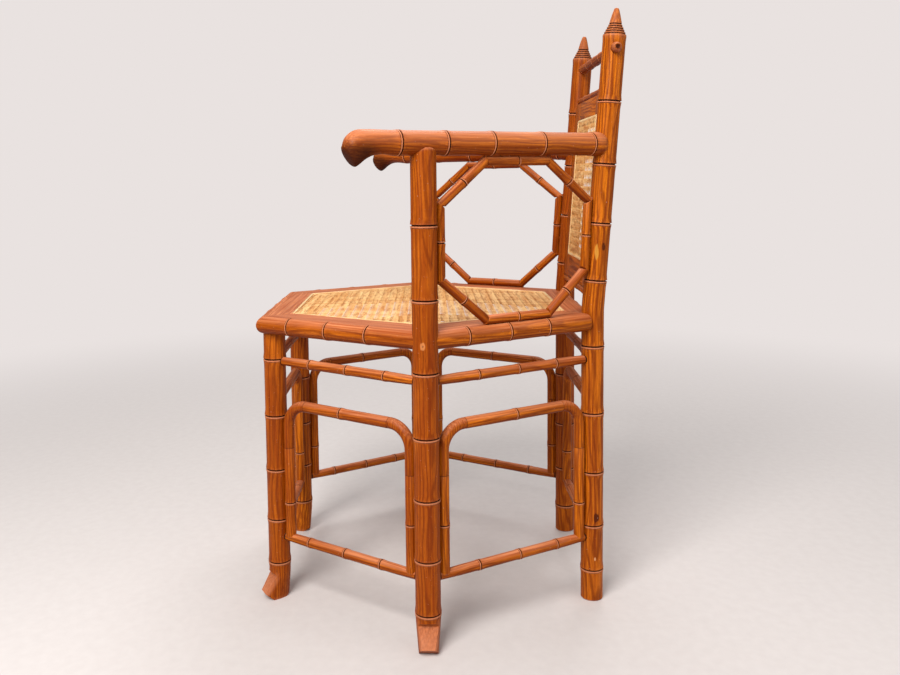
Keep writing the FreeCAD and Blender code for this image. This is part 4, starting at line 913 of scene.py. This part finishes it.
def elbow_pattern():
    """Quarter bend from the upright at the origin to the top bar, which runs to +X."""
    hands_off()
    bpy.ops.mesh.primitive_circle_add(vertices=20, radius=EASED_RADIUS, fill_type="NGON", location=(0, 0, 0))
    elbow = bpy.context.object
    elbow.name = "elbow"
    edit(elbow)
    bpy.ops.mesh.select_all(action="SELECT")
    bpy.ops.transform.translate(value=(0, 0, ELBOW_JOINT + HAIR))
    pull((0, 0, EASE_LONG))
    wider = ARCH_RADIUS / EASED_RADIUS
    bpy.ops.transform.resize(value=(wider, wider, 1), center_override=(0, 0, ELBOW_JOINT + EASE_LONG))
    rise = ARCH_TOP - ELBOW_BEND - ELBOW_JOINT - EASE
    for _ in range(3):
        pull((0, 0, rise / 3))
    bpy.ops.mesh.spin(steps=12, angle=math.pi / 2, center=(ELBOW_BEND, 0, ARCH_TOP - ELBOW_BEND),
                      axis=(0, -1, 0))
    pull((TAIL - EASE, 0, 0))
    pull((EASE_LONG, 0, 0))
    bpy.ops.transform.resize(value=(1, 1 / wider, 1 / wider),
                             center_override=(ELBOW_BEND + TAIL - HAIR, 0, ARCH_TOP))
    close_up(merge=0.01)
    print("elbow", [round(value, 1) for value in elbow.dimensions])
    store(elbow, marked=joint_marks)
    smooth(elbow, angle=40)
    return elbow


def bar_rows(start, end, ring):
    """Rows of a top bar, with a dark joint line at both ends."""
    rows = ringed(start + EASE, end - EASE, ARCH_RADIUS, [ring], 0.8)
    return [(EASED_RADIUS, start + HAIR, 1, 0)] + rows + [(EASED_RADIUS, end - HAIR, 1, 0)]


def upright_pattern(ring):
    """Upright whose foot laps over the lower stretcher like a tongue."""
    rows = [(5.2, 101.2, 0.3, 0), (7.3, 102.1, 0.1, 0.2), (8.1, 103.6, 0, 0.2)]
    rows += ringed(105.5, ELBOW_JOINT - EASE, ARCH_RADIUS, [ring], 0.8)
    return turned("upright", rows + [(EASED_RADIUS, ELBOW_JOINT - HAIR, 1, 0)])


# %% Arches


def joined(name, parts):
    """One piece of several, that keeps what each has stored."""
    hands_off()
    for part in parts:
        part.select_set(True)
    bpy.context.view_layer.objects.active = parts[0]
    bpy.ops.object.join()
    parts[0].name = name
    return parts[0]


def arch_pattern(first, last, kind):
    """The five sticks of an arch, along X from the first leg."""
    length = (on_leg(last, 0) - on_leg(first, 0)).length
    kinds = [leg.split("_")[0] for leg in (first, last)]
    beside = [LEGS[leg][2] + ROOM + ARCH_RADIUS for leg in kinds]
    near_x, far_x = beside[0], length - beside[1]
    rows = bar_rows(near_x + ELBOW_BEND + TAIL, far_x - ELBOW_BEND - TAIL, length * (0.5 + BAR_RING[kind]))
    bar = turned("bar", rows)
    bar.data.transform(Matrix.Translation((0, 0, ARCH_TOP)) @ LYING)
    near, far = Matrix.Translation((near_x, 0, 0)), Matrix.Translation((far_x, 0, 0))
    return joined("arch", [bar, copy_of(elbow, "near_elbow", near),
                           copy_of(elbow, "far_elbow", far @ MIRROR),
                           copy_of(uprights[kinds[0]], "near_upright", near),
                           copy_of(uprights[kinds[1]], "far_upright", far)])


def side_place(first, last):
    """Matrix that takes a side drawn along X to its place between two legs."""
    way = (on_leg(last, 0) - on_leg(first, 0)).normalized()
    return Matrix.Translation(on_leg(first, 0)) @ axes(way, UP.cross(way), UP)


elbow = elbow_pattern()
uprights = {leg: upright_pattern(ring) for leg, ring in UPRIGHT_RING.items()}
for name, (first, last, kind) in SIDES.items():
    arch = arch_pattern(first, last, kind)
    put(arch, f"arch_{name}_wood", side_place(first, last), f"arch_{name}")
    put_away(arch)
put_away(elbow, *uprights.values())

# %% [markdown]
# Between a mid leg, an arm, a back post and the seat sits an open octagon of eight sticks. Each is
# turned too long and then sawn at both ends through the line where it meets its neighbour, so that
# the mitres close however steep the corner is.

# %% Octagon frets
FRET, OVERRUN, FRET_BEVEL = 6.75, 12, 0.35
# Sawn edges lie this near a stick's ends, and are sharper than this angle in radians
MITRE_ZONE, MITRE_ANGLE = 8, 0.9
# Heights of the octagon's corners over the seat and under the arm, and their shares of the way back
FRET_OVER_SEAT, FRET_UNDER_ARM = 68.5, 85
FRET_START, FRET_END = 0.3275, 0.685


def fret_route(side):
    """Corners of the octagon and the name of the stick that starts at each."""
    mid, back = f"mid_{side}", f"back_{side}"
    lower, upper = SEAT_TOP + FRET_OVER_SEAT, ARM_HEIGHT - FRET_UNDER_ARM
    axis = on_leg(mid, 0)
    heading = on_leg(back, (lower + upper) / 2) - on_leg(mid, (lower + upper) / 2)
    way = heading.normalized()
    room = ROOM + FRET

    def behind(height):
        """Place of the octagon's back, beside the leaning post at a height."""
        return (on_leg(back, height) - axis).dot(way) - SHAFT - room

    bottom, top = SEAT_TOP + FRET + 0.1, ARM_HEIGHT - SHAFT - room
    start, end, front = FRET_START * heading.length, FRET_END * heading.length, MID_SHAFT + room
    route = [("lower_front", front, lower), ("bottom", start, bottom), ("lower_back", end, bottom),
             ("back", behind(lower), lower), ("upper_back", behind(upper), upper), ("top", end, top),
             ("upper_front", start, top), ("front", front, upper)]
    return [(name, axis + way * place + Vector((0, 0, height))) for name, place, height in route]


def fret_stick(place, before, corner, after, later):
    """Upright stick as long as from a corner to the one after it, mitred with its neighbours."""
    length = (after - corner).length
    rows = ringed(-OVERRUN, length + OVERRUN, FRET, [length / 2], 0.8)
    stick = turned("fret", rows, steps=16)
    way = (after - corner).normalized()
    to_stick = place.to_3x3().inverted()
    trim(stick, (0, 0, 0), to_stick @ -(way + (corner - before).normalized()))
    trim(stick, (0, 0, length), to_stick @ (way + (later - after).normalized()))
    edit(stick)
    pick(lambda edge: len(edge.link_faces) == 2 and edge.calc_face_angle(0) > MITRE_ANGLE
         and not MITRE_ZONE < edge.verts[0].co.z < length - MITRE_ZONE, "EDGE")
    bpy.ops.mesh.bevel(offset=FRET_BEVEL, segments=1, affect="EDGES", clamp_overlap=True)
    bpy.ops.object.mode_set(mode="OBJECT")
    store(stick, rows)
    smooth(stick, angle=40)
    return stick


for side in ("left", "right"):
    route = fret_route(side)
    corners = [corner for _, corner in route]
    for index, (name, corner) in enumerate(route):
        after, later = corners[(index + 1) % 8], corners[(index + 2) % 8]
        place = along(corner, after)
        stick = fret_stick(place, corners[index - 1], corner, after, later)
        put(stick, f"fret_{side}_{name}_wood", place, f"fret_{side}_{name}")
        put_away(stick)
    print("fret", side, "corners", [[round(value) for value in corner] for corner in corners])

# %% [markdown]
# The seat frame is six flat boards, mitred at the corners. Their outer edge is a full half round
# with bamboo rings, so it reads as one more thick stick. That edge is turned on the lathe as a whole
# rod, and half of it is buried in the flat board behind it, with a fine line where the two meet.
# At the back posts the rods stop short and are rounded off.

# %% Sizes of the seat boards
BEAD, EDGE_LINE = SEAT_THICK / 2, 0.9
BOARD_DEEP, BOARD_HALF_LONG = 70.2, 175
BOARD_STOP, ROD_STOP, ROD_REACH = 143, 143.5, 160
# Distance in from a rod's side, and from its end, of the points that round it off
ROD_END = [(3, 0), (0.8, 1.2), (0, 3.6)]
# From the seat's edge to the cane's opening, the ledge that carries the cane, and how deep it lies
SIDE_BOARD, FRONT_BOARD, BACK_BOARD = 56, 51, 43
LEDGE, LEDGE_DEEP = 14.2, 2.4
RAIL_RINGS = {"front": [-0.238, 0, 0.238], "back": [-0.238, 0, 0.238], "front_side": [-0.304, -0.070, 0.167],
              "back_side": [-0.253, -0.017, 0.212]}
# Direction that each board faces, in degrees; the right side mirrors the left
FACINGS = {"back_left": 30, "back": 90, "front": 270, "front_left": 330}

# %% Opening for the cane


def opening(inset):
    """Corners of the cane's opening, drawn in by an inset."""
    side, front, back = [FLAT - board - inset for board in (SIDE_BOARD, FRONT_BOARD, BACK_BOARD)]
    return [(way * (side - abs(level) / 2) / math.cos(math.radians(30)), level)
            for way, level in ((1, 0), (1, back), (-1, back), (-1, 0), (-1, -front), (1, -front))]


def opening_cutter(inset, floor):
    """Six-sided block that cuts the opening down to a height."""
    return extruded("opening", [(x, y, floor) for x, y in opening(inset)], (0, 0, 2 * CUTTER_HALF))


# %% Seat boards


def rod_reach(kind, at_end):
    """How far a rod runs from the middle of its side."""
    return ROD_STOP if kind == "back" or (kind == "back_side" and at_end) else ROD_REACH


def rod_outline(rows, first, last):
    """Outline of a rod, rounded off where it stops at a post."""
    outline = [row[:2] for row in rows]
    if first == ROD_STOP:
        outline[:1] = [(BEAD - deep, inward - first) for deep, inward in ROD_END]
    if last == ROD_STOP:
        outline[-1:] = [(BEAD - deep, last - inward) for deep, inward in reversed(ROD_END)]
    return [(0, -first)] + outline + [(0, last)]


def slab_marks(places, stain_and_shade, wear_and_highlight):
    """The line between a board and its half-round edge is dark."""
    near = (places[:, 1] > -14) & (places[:, 2] > -2)
    return np.where(near, 0.8, 0.0), wear_and_highlight


def board(kind, facing, direction):
    """One seat board in its place, in millimetres."""
    section = [(-BEAD, -EDGE_LINE), (-BEAD - EDGE_LINE, 0), (-BOARD_DEEP, 0), (-BOARD_DEEP, -SEAT_THICK),
               (-BEAD - EDGE_LINE, -SEAT_THICK), (-BEAD, EDGE_LINE - SEAT_THICK)]
    slab = extruded("slab", [(-BOARD_HALF_LONG, y, z) for y, z in section], (2 * BOARD_HALF_LONG, 0, 0))
    first, last = rod_reach(kind, False), rod_reach(kind, True)
    rows = ringed(-first, last, BEAD, [share * CORNER for share in RAIL_RINGS[kind]], 0.85)
    rod = lathe("rod", rod_outline(rows, first, last), steps=32)
    rod.data.transform(Matrix.Translation((0, -BEAD, -BEAD)) @ LYING)
    for way, reach in ((-1, first), (1, last)):
        mitre = Vector((way * math.cos(math.radians(30)), -0.5, 0))
        trim(slab, (way * CORNER / 2, 0, 0), mitre)
        if reach == ROD_STOP:
            trim(slab, (way * BOARD_STOP, 0, 0), (way, 0, 0))
        else:
            trim(rod, (way * CORNER / 2, 0, 0), mitre)
    place = Matrix.Translation(facing * FLAT + UP * SEAT_TOP) @ axes(direction, facing, UP)
    for part in (slab, rod):
        move(part.data, place)
    cut_away(slab, opening_cutter(LEDGE, SEAT_BOTTOM - 30), opening_cutter(0, SEAT_TOP - LEDGE_DEEP))
    store(rod, rows, wood_frame=place, long_axis=0)
    store(slab, wood_frame=place, long_axis=0, marked=slab_marks)
    smooth(rod)
    smooth(slab, angle=20)
    return joined("board", [slab, rod])


for name, angle in FACINGS.items():
    first, last, kind = SIDES[name]
    facing = Vector((math.cos(math.radians(angle)), math.sin(math.radians(angle)), 0))
    direction = Vector((-facing.y, facing.x, 0))
    if (on_leg(last, 0) - on_leg(first, 0)).dot(direction) < 0:
        direction = -direction
    rail = board("back" if name == "back" else kind, facing, direction)
    print("seat board", name, [round(value) for value in rail.dimensions])
    put(rail, f"seat_board_{name}_wood", Matrix.Identity(4), f"seat_rail_{name}")
    if name.endswith("left"):
        other = name.replace("left", "right")
        put(rail, f"seat_board_{other}_wood", MIRROR, f"seat_rail_{other}")
    put_away(rail)

# %% [markdown]
# The back is a flat frame between the leaning posts: two stiles, a top and a bottom rail, with thin
# ringed rails over and under it and a crest rail that runs right through the posts and ends in
# rounded knobs. It is drawn upright over the bend and then leaned back with the posts.

# %% Back panel
LEAN = Matrix.Translation((0, FLAT - 3.5, BEND)) @ Matrix.Rotation(-RAKE, 4, "X")
POST_X = LEGS["back"][0]
# Height and radius of the thin rails over and under the panel
HEAD_RAIL, FOOT_RAIL = (796, 6), (479, 7)
PANEL_GAP, PANEL_HALF_THICK, WINDOW_FLOOR = 0.6, 8, -5.6
STILE, TOP_RAIL, BOTTOM_RAIL = 32, 30, 38


def above_bend(height):
    """Distance up the leaning post to a height over the floor."""
    return (height - BEND) / math.cos(RAKE)


HALF = POST_X - SHAFT - ROOM
PANEL_LOW = above_bend(FOOT_RAIL[0]) + FOOT_RAIL[1] + PANEL_GAP
PANEL_HIGH = above_bend(HEAD_RAIL[0]) - HEAD_RAIL[1] - PANEL_GAP
CANE_LOW, CANE_HIGH, CANE_HALF = PANEL_LOW + BOTTOM_RAIL, PANEL_HIGH - TOP_RAIL, HALF - STILE
INNER = CANE_HALF - LEDGE
# Lower and upper corner of each flat piece, across and up
PANEL = {"stile_left": ((INNER, PANEL_LOW), (HALF, PANEL_HIGH)),
         "stile_right": ((-HALF, PANEL_LOW), (-INNER, PANEL_HIGH)),
         "rail_top": ((-INNER, CANE_HIGH - LEDGE), (INNER, PANEL_HIGH)),
         "rail_bottom": ((-INNER, PANEL_LOW), (INNER, CANE_LOW + LEDGE))}


def plank(name, low, high, ease=0.9):
    """Flat board between two opposite corners, its edges eased with a bevel."""
    hands_off()
    bpy.ops.mesh.primitive_cube_add(size=1, location=(0, 0, 0))
    piece = bpy.context.object
    piece.name = name
    edit(piece)
    bpy.ops.mesh.select_all(action="SELECT")
    bpy.ops.transform.resize(value=[b - a for a, b in zip(low, high)], center_override=(0, 0, 0))
    bpy.ops.transform.translate(value=[(a + b) / 2 for a, b in zip(low, high)])
    bpy.ops.mesh.bevel(offset=ease, segments=2, affect="EDGES")
    bpy.ops.object.mode_set(mode="OBJECT")
    return piece


for name, ((x_low, z_low), (x_high, z_high)) in PANEL.items():
    part = plank(name, (x_low, -PANEL_HALF_THICK, z_low), (x_high, PANEL_HALF_THICK, z_high))
    window = plank("window", (-CANE_HALF, -12, CANE_LOW), (CANE_HALF, WINDOW_FLOOR, CANE_HIGH), ease=0.01)
    cut_away(part, window)
    store(part, long_axis=0 if name.startswith("rail") else 2)
    smooth(part, angle=25)
    put(part, f"panel_{name}_wood", LEAN, f"panel_{name}")
    put_away(part)
print("panel", round(2 * HALF), "wide", round(PANEL_HIGH - PANEL_LOW), "tall")

# %% Rails between the back posts
CREST_HEIGHT, CREST, CREST_REACH = 853, 7.75, POST_X + SHAFT + 14
# Radius, distance in from the crest rail's end, darkness, and wear with painted highlight of its knobs
KNOB = [(1.6, 0.9, 1, 0), (3.4, 0, 0.5, 0), (5.0, 0.4, 0.1, 0.4), (6.3, 3.4, 0, 0.5), (7.6, 7.2, 0, 0.3),
        (8.1, 10.5, 0, 0.1)]
KNOB_LONG = 14

for name, (height, radius) in (("panel_head_rail", HEAD_RAIL), ("panel_foot_rail", FOOT_RAIL)):
    start, end = on_leg("back_left", height), on_leg("back_right", height)
    length = (end - start).length
    rings = [length / 2 + POST_X * at for at in (-0.45, 0, 0.45)]
    rail = turned("thin_rail", ringed(8, length - 8, radius, rings, 0.6))
    put(rail, name + "_wood", along(start, end), name)
    put_away(rail)

crest_rings = [POST_X * at for at in (-0.79, -0.395, 0, 0.395, 0.79)]
crest_rows = [(radius, inward - CREST_REACH, stain_and_shade, wear_and_highlight) for radius, inward, stain_and_shade, wear_and_highlight in KNOB]
crest_rows += ringed(KNOB_LONG - CREST_REACH, CREST_REACH - KNOB_LONG, CREST, crest_rings, 0.8)
crest_rows += [(radius, CREST_REACH - inward, stain_and_shade, wear_and_highlight) for radius, inward, stain_and_shade, wear_and_highlight in reversed(KNOB)]
crest = turned("crest", crest_rows, steps=24)
centre = on_leg("back_left", CREST_HEIGHT)
centre.x = 0
put(crest, "crest_rail_wood", along(centre, centre + Vector((1, 0, 0))), "crest_rail")
print("crest rail", round(crest.dimensions.z), "long")
put_away(crest)

# %% [markdown]
# Cane is the glossy bark of rattan, split into flat strands and woven in six ways: pairs upright,
# pairs across, and single strands along both diagonals, which leave rows of small eight-sided holes.
# One cell of that weave is modelled with real overs and unders, every strand a slim three-sided
# tube. The Array modifier repeats it, and bisect saws the sheet to the shape of its opening.

# %% Woven cane
PITCH, PAIR_HALF = 12.7, 1.3
STRAND, STRAND_THICK = 2.55, 0.55
DIAGONAL, DIAGONAL_THICK = 3.1, 0.6
DIAGONAL_RISE = [0.35, -0.05, -0.45, -0.05, 0.35]


def strand_painted_shade(places, stain_and_shade, wear_and_highlight):
    """Painted shade darkens the lower edges of a strand."""
    return np.clip((0.12 - places[:, 1]) / 0.5, 0, 1), wear_and_highlight


def strand(points, width, thick):
    """Flat strand drawn along points, crowned on top."""
    hands_off()
    bpy.ops.mesh.primitive_circle_add(vertices=3, radius=1, fill_type="NOTHING", location=(0, 0, 0))
    piece = bpy.context.object
    points = [Vector(point) for point in points]
    way = points[-1] - points[0]
    way.z = 0
    way.normalize()
    side = Vector((way.y, -way.x, 0))
    for vertex, (across, rise) in zip(piece.data.vertices, ((0, 1), (-1, 0), (1, 0))):
        vertex.co = points[0] + side * (across * width / 2) + Vector((0, 0, rise * thick))
    edit(piece)
    bpy.ops.mesh.select_all(action="SELECT")
    for here, there in zip(points, points[1:]):
        pull(there - here)
    close_up()
    store(piece, wood_frame=axes(side, UP, way), marked=strand_painted_shade)
    return piece


def weave_cell():
    """One cell of the six-way weave, from the origin to one pitch each way."""
    half = PITCH / 2
    parts = []
    for offset in (-PAIR_HALF, PAIR_HALF):
        upright = [(offset, -half, -0.05), (offset, 0, -0.5), (offset, half, -0.05)]
        level = [(-half, offset, -0.25), (0, offset, 0.15), (half, offset, -0.25)]
        parts += [strand(upright, STRAND, STRAND_THICK), strand(level, STRAND, STRAND_THICK)]
    steps = [(index * PITCH / 4, rise) for index, rise in enumerate(DIAGONAL_RISE)]
    falling = [(step, half - step, rise) for step, rise in steps]
    rising = [(step, step - half, -0.1 - rise) for step, rise in steps]
    parts += [strand(points, DIAGONAL, DIAGONAL_THICK) for points in (falling, rising)]
    return joined("cell", parts)


def woven(columns, rows):
    """Sheet of cells in rows and columns, centred on the origin."""
    sheet = weave_cell()
    for count, way in ((columns, (PITCH, 0, 0)), (rows, (0, PITCH, 0))):
        take(sheet)
        bpy.ops.object.modifier_add(type="ARRAY")
        repeat = sheet.modifiers[-1]
        repeat.count = count
        repeat.use_relative_offset = False
        repeat.use_constant_offset = True
        repeat.constant_offset_displace = way
        bpy.ops.object.modifier_apply(modifier=repeat.name)
    sheet.data.transform(Matrix.Translation((-(columns - 1) / 2 * PITCH, -(rows - 1) / 2 * PITCH, 0)))
    return sheet


def saw_sheet(sheet, corners):
    """Cut a sheet to the outline of its opening, without closing the strands' ends."""
    edit(sheet)
    corners = [Vector((*corner, 0)) for corner in corners]
    middle = sum(corners, Vector((0, 0, 0))) / len(corners)
    for first, second in zip(corners, corners[1:] + corners[:1]):
        normal = (second - first).cross(UP).normalized()
        if normal.dot(middle - first) > 0:
            normal = -normal
        bpy.ops.mesh.select_all(action="SELECT")
        bpy.ops.mesh.bisect(plane_co=first, plane_no=normal, clear_outer=True, use_fill=False)
    bpy.ops.mesh.select_all(action="SELECT")
    bpy.ops.mesh.remove_doubles(threshold=0.01)
    bpy.ops.object.mode_set(mode="OBJECT")


# %% [markdown]
# Cane keeps the silica skin of the plant, so it is straw-gold with a soft shine. Single strands vary
# from pale straw to honey, and fine fibres run along each one. The strands' low points and rows of
# dark dashes are painted darker as painted shade. The reed round it is the plant's core, paler and
# plainer.

# %% Cane and reed finishes


def fill_cane():
    """Nodes of the woven cane's finish."""
    world = place_in_chair()
    across = mottle(stretched(world, 95, 5, 95), 2.0)
    upright = mottle(stretched(world, 5, 95, 95), 2.0)
    patch = mottle(stretched(world, 14, 14, 14))
    # Rows of dark dashes are painted shade, as if seen through the holes.
    painted_hole_shade = fade(mottle(stretched(world, 30, 210, 150), 2.0, 0.6), 0.5, 0.62)
    fibres = mottle(stretched(stored("grain", "Vector"), 2200, 2200, 90), 3.0, 0.6)
    straw = blend(fade(across + upright, 0.7, 1.3), paint(220, 154, 84), paint(250, 208, 144))
    with_fibres = blend(fade(fibres, 0.45, 0.75) * 0.3, straw, paint(184, 116, 62))
    patchy = blend(fade(patch, 0.5, 0.8) * 0.4, with_fibres, paint(226, 164, 96))
    with_hole_shade = blend(painted_hole_shade * 0.52, patchy, paint(180, 98, 34))
    # The strands' low points are painted darker: painted shade.
    with_dip_shade = blend(fade(stored("stain_and_shade"), 0.1, 1.0) * 0.85, with_hole_shade, paint(96, 44, 12))
    surface({"Base Color": with_dip_shade, "Roughness": 0.5 + 0.2 * fibres, "Normal": bumps(fibres, 0.0004),
             "Specular IOR Level": 0.2})


def fill_reed():
    """Nodes of the reed's finish."""
    patch = mottle(stretched(place_in_chair(), 40, 40, 40))
    fibres = mottle(stretched(stored("grain", "Vector"), 1800, 1800, 60), 3.0, 0.6)
    core = blend(fade(patch, 0.3, 0.7), paint(226, 178, 116), paint(245, 214, 160))
    with_fibres = blend(fade(fibres, 0.5, 0.8) * 0.35, core, paint(176, 112, 56))
    surface({"Base Color": with_fibres, "Roughness": 0.45 + 0.15 * patch, "Normal": bumps(fibres, 0.0004)})


CANE = new_finish("woven_cane")
fill_cane()
REED = new_finish("reed_spline")
fill_reed()
print("nodes of the cane's finish", len(CANE.node_tree.nodes), "and of the reed's", len(REED.node_tree.nodes))

# %% Seat and back cane
CANE_INSET, SEAT_CANE_DROP, BACK_CANE_FORWARD = 2, 1.75, 7.2
# Columns and rows of cells, enough to cover each opening
SEAT_CELLS, BACK_CELLS = (35, 36), (15, 21)

seat_sheet = woven(*SEAT_CELLS)
saw_sheet(seat_sheet, opening(CANE_INSET))
smooth(seat_sheet, angle=50)
put(seat_sheet, "seat_cane_weave", Matrix.Translation((0, 0, SEAT_TOP - SEAT_CANE_DROP)), "seat_cane",
    slot="cane", finish=CANE)
back_sheet = woven(*BACK_CELLS)
half_wide, half_tall = CANE_HALF - CANE_INSET, (CANE_HIGH - CANE_LOW) / 2 - CANE_INSET
saw_sheet(back_sheet, [(-half_wide, -half_tall), (half_wide, -half_tall), (half_wide, half_tall),
                       (-half_wide, half_tall)])
smooth(back_sheet, angle=50)
middle = (0, -BACK_CANE_FORWARD, (CANE_LOW + CANE_HIGH) / 2)
stand = Matrix.Translation(middle) @ Matrix.Rotation(math.pi / 2, 4, "X")
put(back_sheet, "back_cane_weave", LEAN @ stand, "back_cane", slot="cane", finish=CANE)
print("faces of the cane, seat", len(seat_sheet.data.polygons), "back", len(back_sheet.data.polygons))
put_away(seat_sheet, back_sheet)

# %% [markdown]
# A strip of reed is pressed into a groove round each sheet and holds the cane's edge down. It shows
# as a pale rounded line. Each strip is drawn as a rounded section, extruded, and mitred at its ends.

# %% Reed strips
# Distance in from the opening's edge, and height over the board, of a strip's section
REED_SECTION = [(0.1, -5.6), (0.1, -0.3), (0.5, 0.15), (1.3, 0.5), (2.15, 0.6), (3.0, 0.5), (3.8, 0.15),
                (4.2, -0.3), (4.2, -5.6)]
REED_OVERRUN = 8


def reed_strip(before, start, end, after, inside, up):
    """Rounded strip from corner to corner, mitred with its neighbours; inside points to the cane."""
    way = (end - start).normalized()
    outline = [start - way * REED_OVERRUN + inside * inward + up * rise for inward, rise in REED_SECTION]
    strip = extruded("strip", outline, end - start + way * (2 * REED_OVERRUN))
    trim(strip, start, -(way + (start - before).normalized()))
    trim(strip, end, way + (after - end).normalized())
    store(strip, wood_frame=axes(inside, way.cross(inside), way))
    smooth(strip, angle=40)
    return strip


def strip_loop(corners, up):
    """Strips all round an opening whose face looks up."""
    count = len(corners)
    centre = sum(corners, Vector((0, 0, 0))) / count
    strips = []
    for index in range(count):
        before, start, end, after = [corners[(index + step) % count] for step in (-1, 0, 1, 2)]
        inside = up.cross((end - start).normalized())
        if inside.dot(centre - start) < 0:
            inside = -inside
        strips.append(reed_strip(before, start, end, after, inside, up))
    return joined("strips", strips)


seat_loop = strip_loop([Vector((x, y, SEAT_TOP)) for x, y in opening(0)], UP)
put(seat_loop, "seat_spline_reed", Matrix.Identity(4), "seat_spline", slot="reed", finish=REED)
back_corners = [(-CANE_HALF, CANE_LOW), (CANE_HALF, CANE_LOW),
                (CANE_HALF, CANE_HIGH), (-CANE_HALF, CANE_HIGH)]
back_loop = strip_loop([Vector((x, -PANEL_HALF_THICK, z)) for x, z in back_corners], Vector((0, -1, 0)))
put(back_loop, "back_spline_reed", LEAN, "back_spline", slot="reed", finish=REED)
print("faces of the reed, seat", len(seat_loop.data.polygons), "back", len(back_loop.data.polygons))
put_away(seat_loop, back_loop)

# %% [markdown]
# The dowels inside the joints are the only CAD solids that stay. They can't be seen, and they get
# the plain wood finish, which reads the chair's own coordinates because they hold no grain.

# %% Hidden dowels
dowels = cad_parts["dowels"]
dowels.data.materials.clear()
dowels.data.materials.append(PLAIN_WOOD)
print("pieces", len(pieces_made), "triangles",
      sum(len(face.vertices) - 2 for piece in pieces_made for face in piece.data.polygons))

# %% [markdown]
# The studio is a wide pale floor that fades into an equally pale surround, so that no edge shows.
# The surround is bright only where the camera sees it, and lights the chair more softly. Three
# square lamps do the rest.

# %% Floor and light
BACKGROUND, SOFT_SKY = paint(233, 226, 224), (1.0, 0.98, 0.96, 1)
FLOOR_COLOURS = paint(214, 207, 205), paint(224, 218, 216)
# Distance from the chair, in metres, over which the floor fades into the surround
FADE_START, FADE_END = 0.7, 2.6
FLOOR_SIZE, SKY_STRENGTH = 30, 0.34

FLOOR = new_finish("studio_floor")
ground = place_in_chair()
reach = away(stretched(ground, 1, 1, 0))
seen = Field.node("ShaderNodeLightPath", {}, {}, "Is Camera Ray")
grit = mottle(stretched(ground, 60, 60, 60), 4.0)
lit = Field.node("ShaderNodeBsdfDiffuse", {}, {"Color": blend(grit, *FLOOR_COLOURS)})
glow = Field.node("ShaderNodeEmission", {}, {"Color": BACKGROUND, "Strength": 1.0})
highlight_and_backdrop_fade = fade(reach, FADE_START, FADE_END) * seen
end_with(Field.node("ShaderNodeMixShader", {}, {0: highlight_and_backdrop_fade, 1: lit, 2: glow}))
hands_off()
bpy.ops.mesh.primitive_plane_add(size=FLOOR_SIZE, location=(0, 0, 0))
floor = bpy.context.object
floor.name = "studio_floor"
floor.data.materials.append(FLOOR)

sky = bpy.data.worlds.new("studio")
bpy.context.scene.world = sky
sky.use_nodes = True
sky.node_tree.nodes.clear()
Field.tree = sky.node_tree
seen = Field.node("ShaderNodeLightPath", {}, {}, "Is Camera Ray")
pale = Field.node("ShaderNodeBackground", {}, {"Color": BACKGROUND, "Strength": 1.0})
soft = Field.node("ShaderNodeBackground", {}, {"Color": SOFT_SKY, "Strength": SKY_STRENGTH})
end_with(Field.node("ShaderNodeMixShader", {}, {0: seen, 1: soft, 2: pale}), "ShaderNodeOutputWorld")


def lamp(name, place, target, size, power, colour=(1, 1, 1)):
    """Square soft lamp that looks at a point."""
    light = bpy.data.lights.new(name, "AREA")
    light.size = size
    light.energy = power
    light.color = colour
    holder = bpy.data.objects.new(name, light)
    holder.location = place
    holder.rotation_euler = (Vector(target) - Vector(place)).to_track_quat("-Z", "Y").to_euler()
    bpy.context.scene.collection.objects.link(holder)


lamp("key", (1.7, -0.75, 1.9), (0, 0, 0.45), 1.1, 62, (1, 0.98, 0.95))
lamp("fill", (1.6, 2.4, 1.2), (0, 0, 0.45), 1.6, 14)
lamp("top", (-1.4, 0.3, 2.6), (0, 0, 0.4), 1.4, 29)
print("lamps", [light.name for light in bpy.data.lights])

# %% [markdown]
# The camera stands at the sitter's left, nearly level with the arm. Its place, turn and focal length
# were fitted to corners and joints of the chair, and the picture is shifted on the sensor only as far
# as the framing needs.

# %% Camera
# Place in metres from the point on the floor under the seat's centre
EYE = (1.4630, 0.0042, 0.6641)
YAW, PITCH_DOWN, ROLL = math.radians(-1.986), math.radians(4.429), math.radians(-0.798)
# Picture's width and height, focal length, and the point straight ahead of the camera, in pixels
PICTURE_WIDE, PICTURE_TALL, FOCAL = 900, 675, 863.9
AHEAD_X, AHEAD_Y = 397.3, 245
SENSOR = 36

forward = Vector((-math.cos(YAW) * math.cos(PITCH_DOWN), math.sin(YAW) * math.cos(PITCH_DOWN),
                  -math.sin(PITCH_DOWN)))
right = Vector((math.sin(YAW), math.cos(YAW), 0))
above = right.cross(forward)
rolled_right = right * math.cos(ROLL) + above * math.sin(ROLL)
rolled_up = above * math.cos(ROLL) - right * math.sin(ROLL)
lens = bpy.data.cameras.new("viewpoint")
lens.sensor_width = SENSOR
lens.lens = FOCAL / PICTURE_WIDE * SENSOR
lens.shift_x = (PICTURE_WIDE / 2 - AHEAD_X) / PICTURE_WIDE
lens.shift_y = (AHEAD_Y - PICTURE_TALL / 2) / PICTURE_WIDE
camera = bpy.data.objects.new("viewpoint", lens)
camera.matrix_world = SHIFT @ Matrix.Translation(EYE) @ axes(rolled_right, rolled_up, -forward)
bpy.context.scene.collection.objects.link(camera)
bpy.context.scene.camera = camera
bpy.context.scene.view_settings.view_transform = "Standard"
print("camera", [round(value, 3) for value in camera.matrix_world.translation], "lens", round(lens.lens, 2))
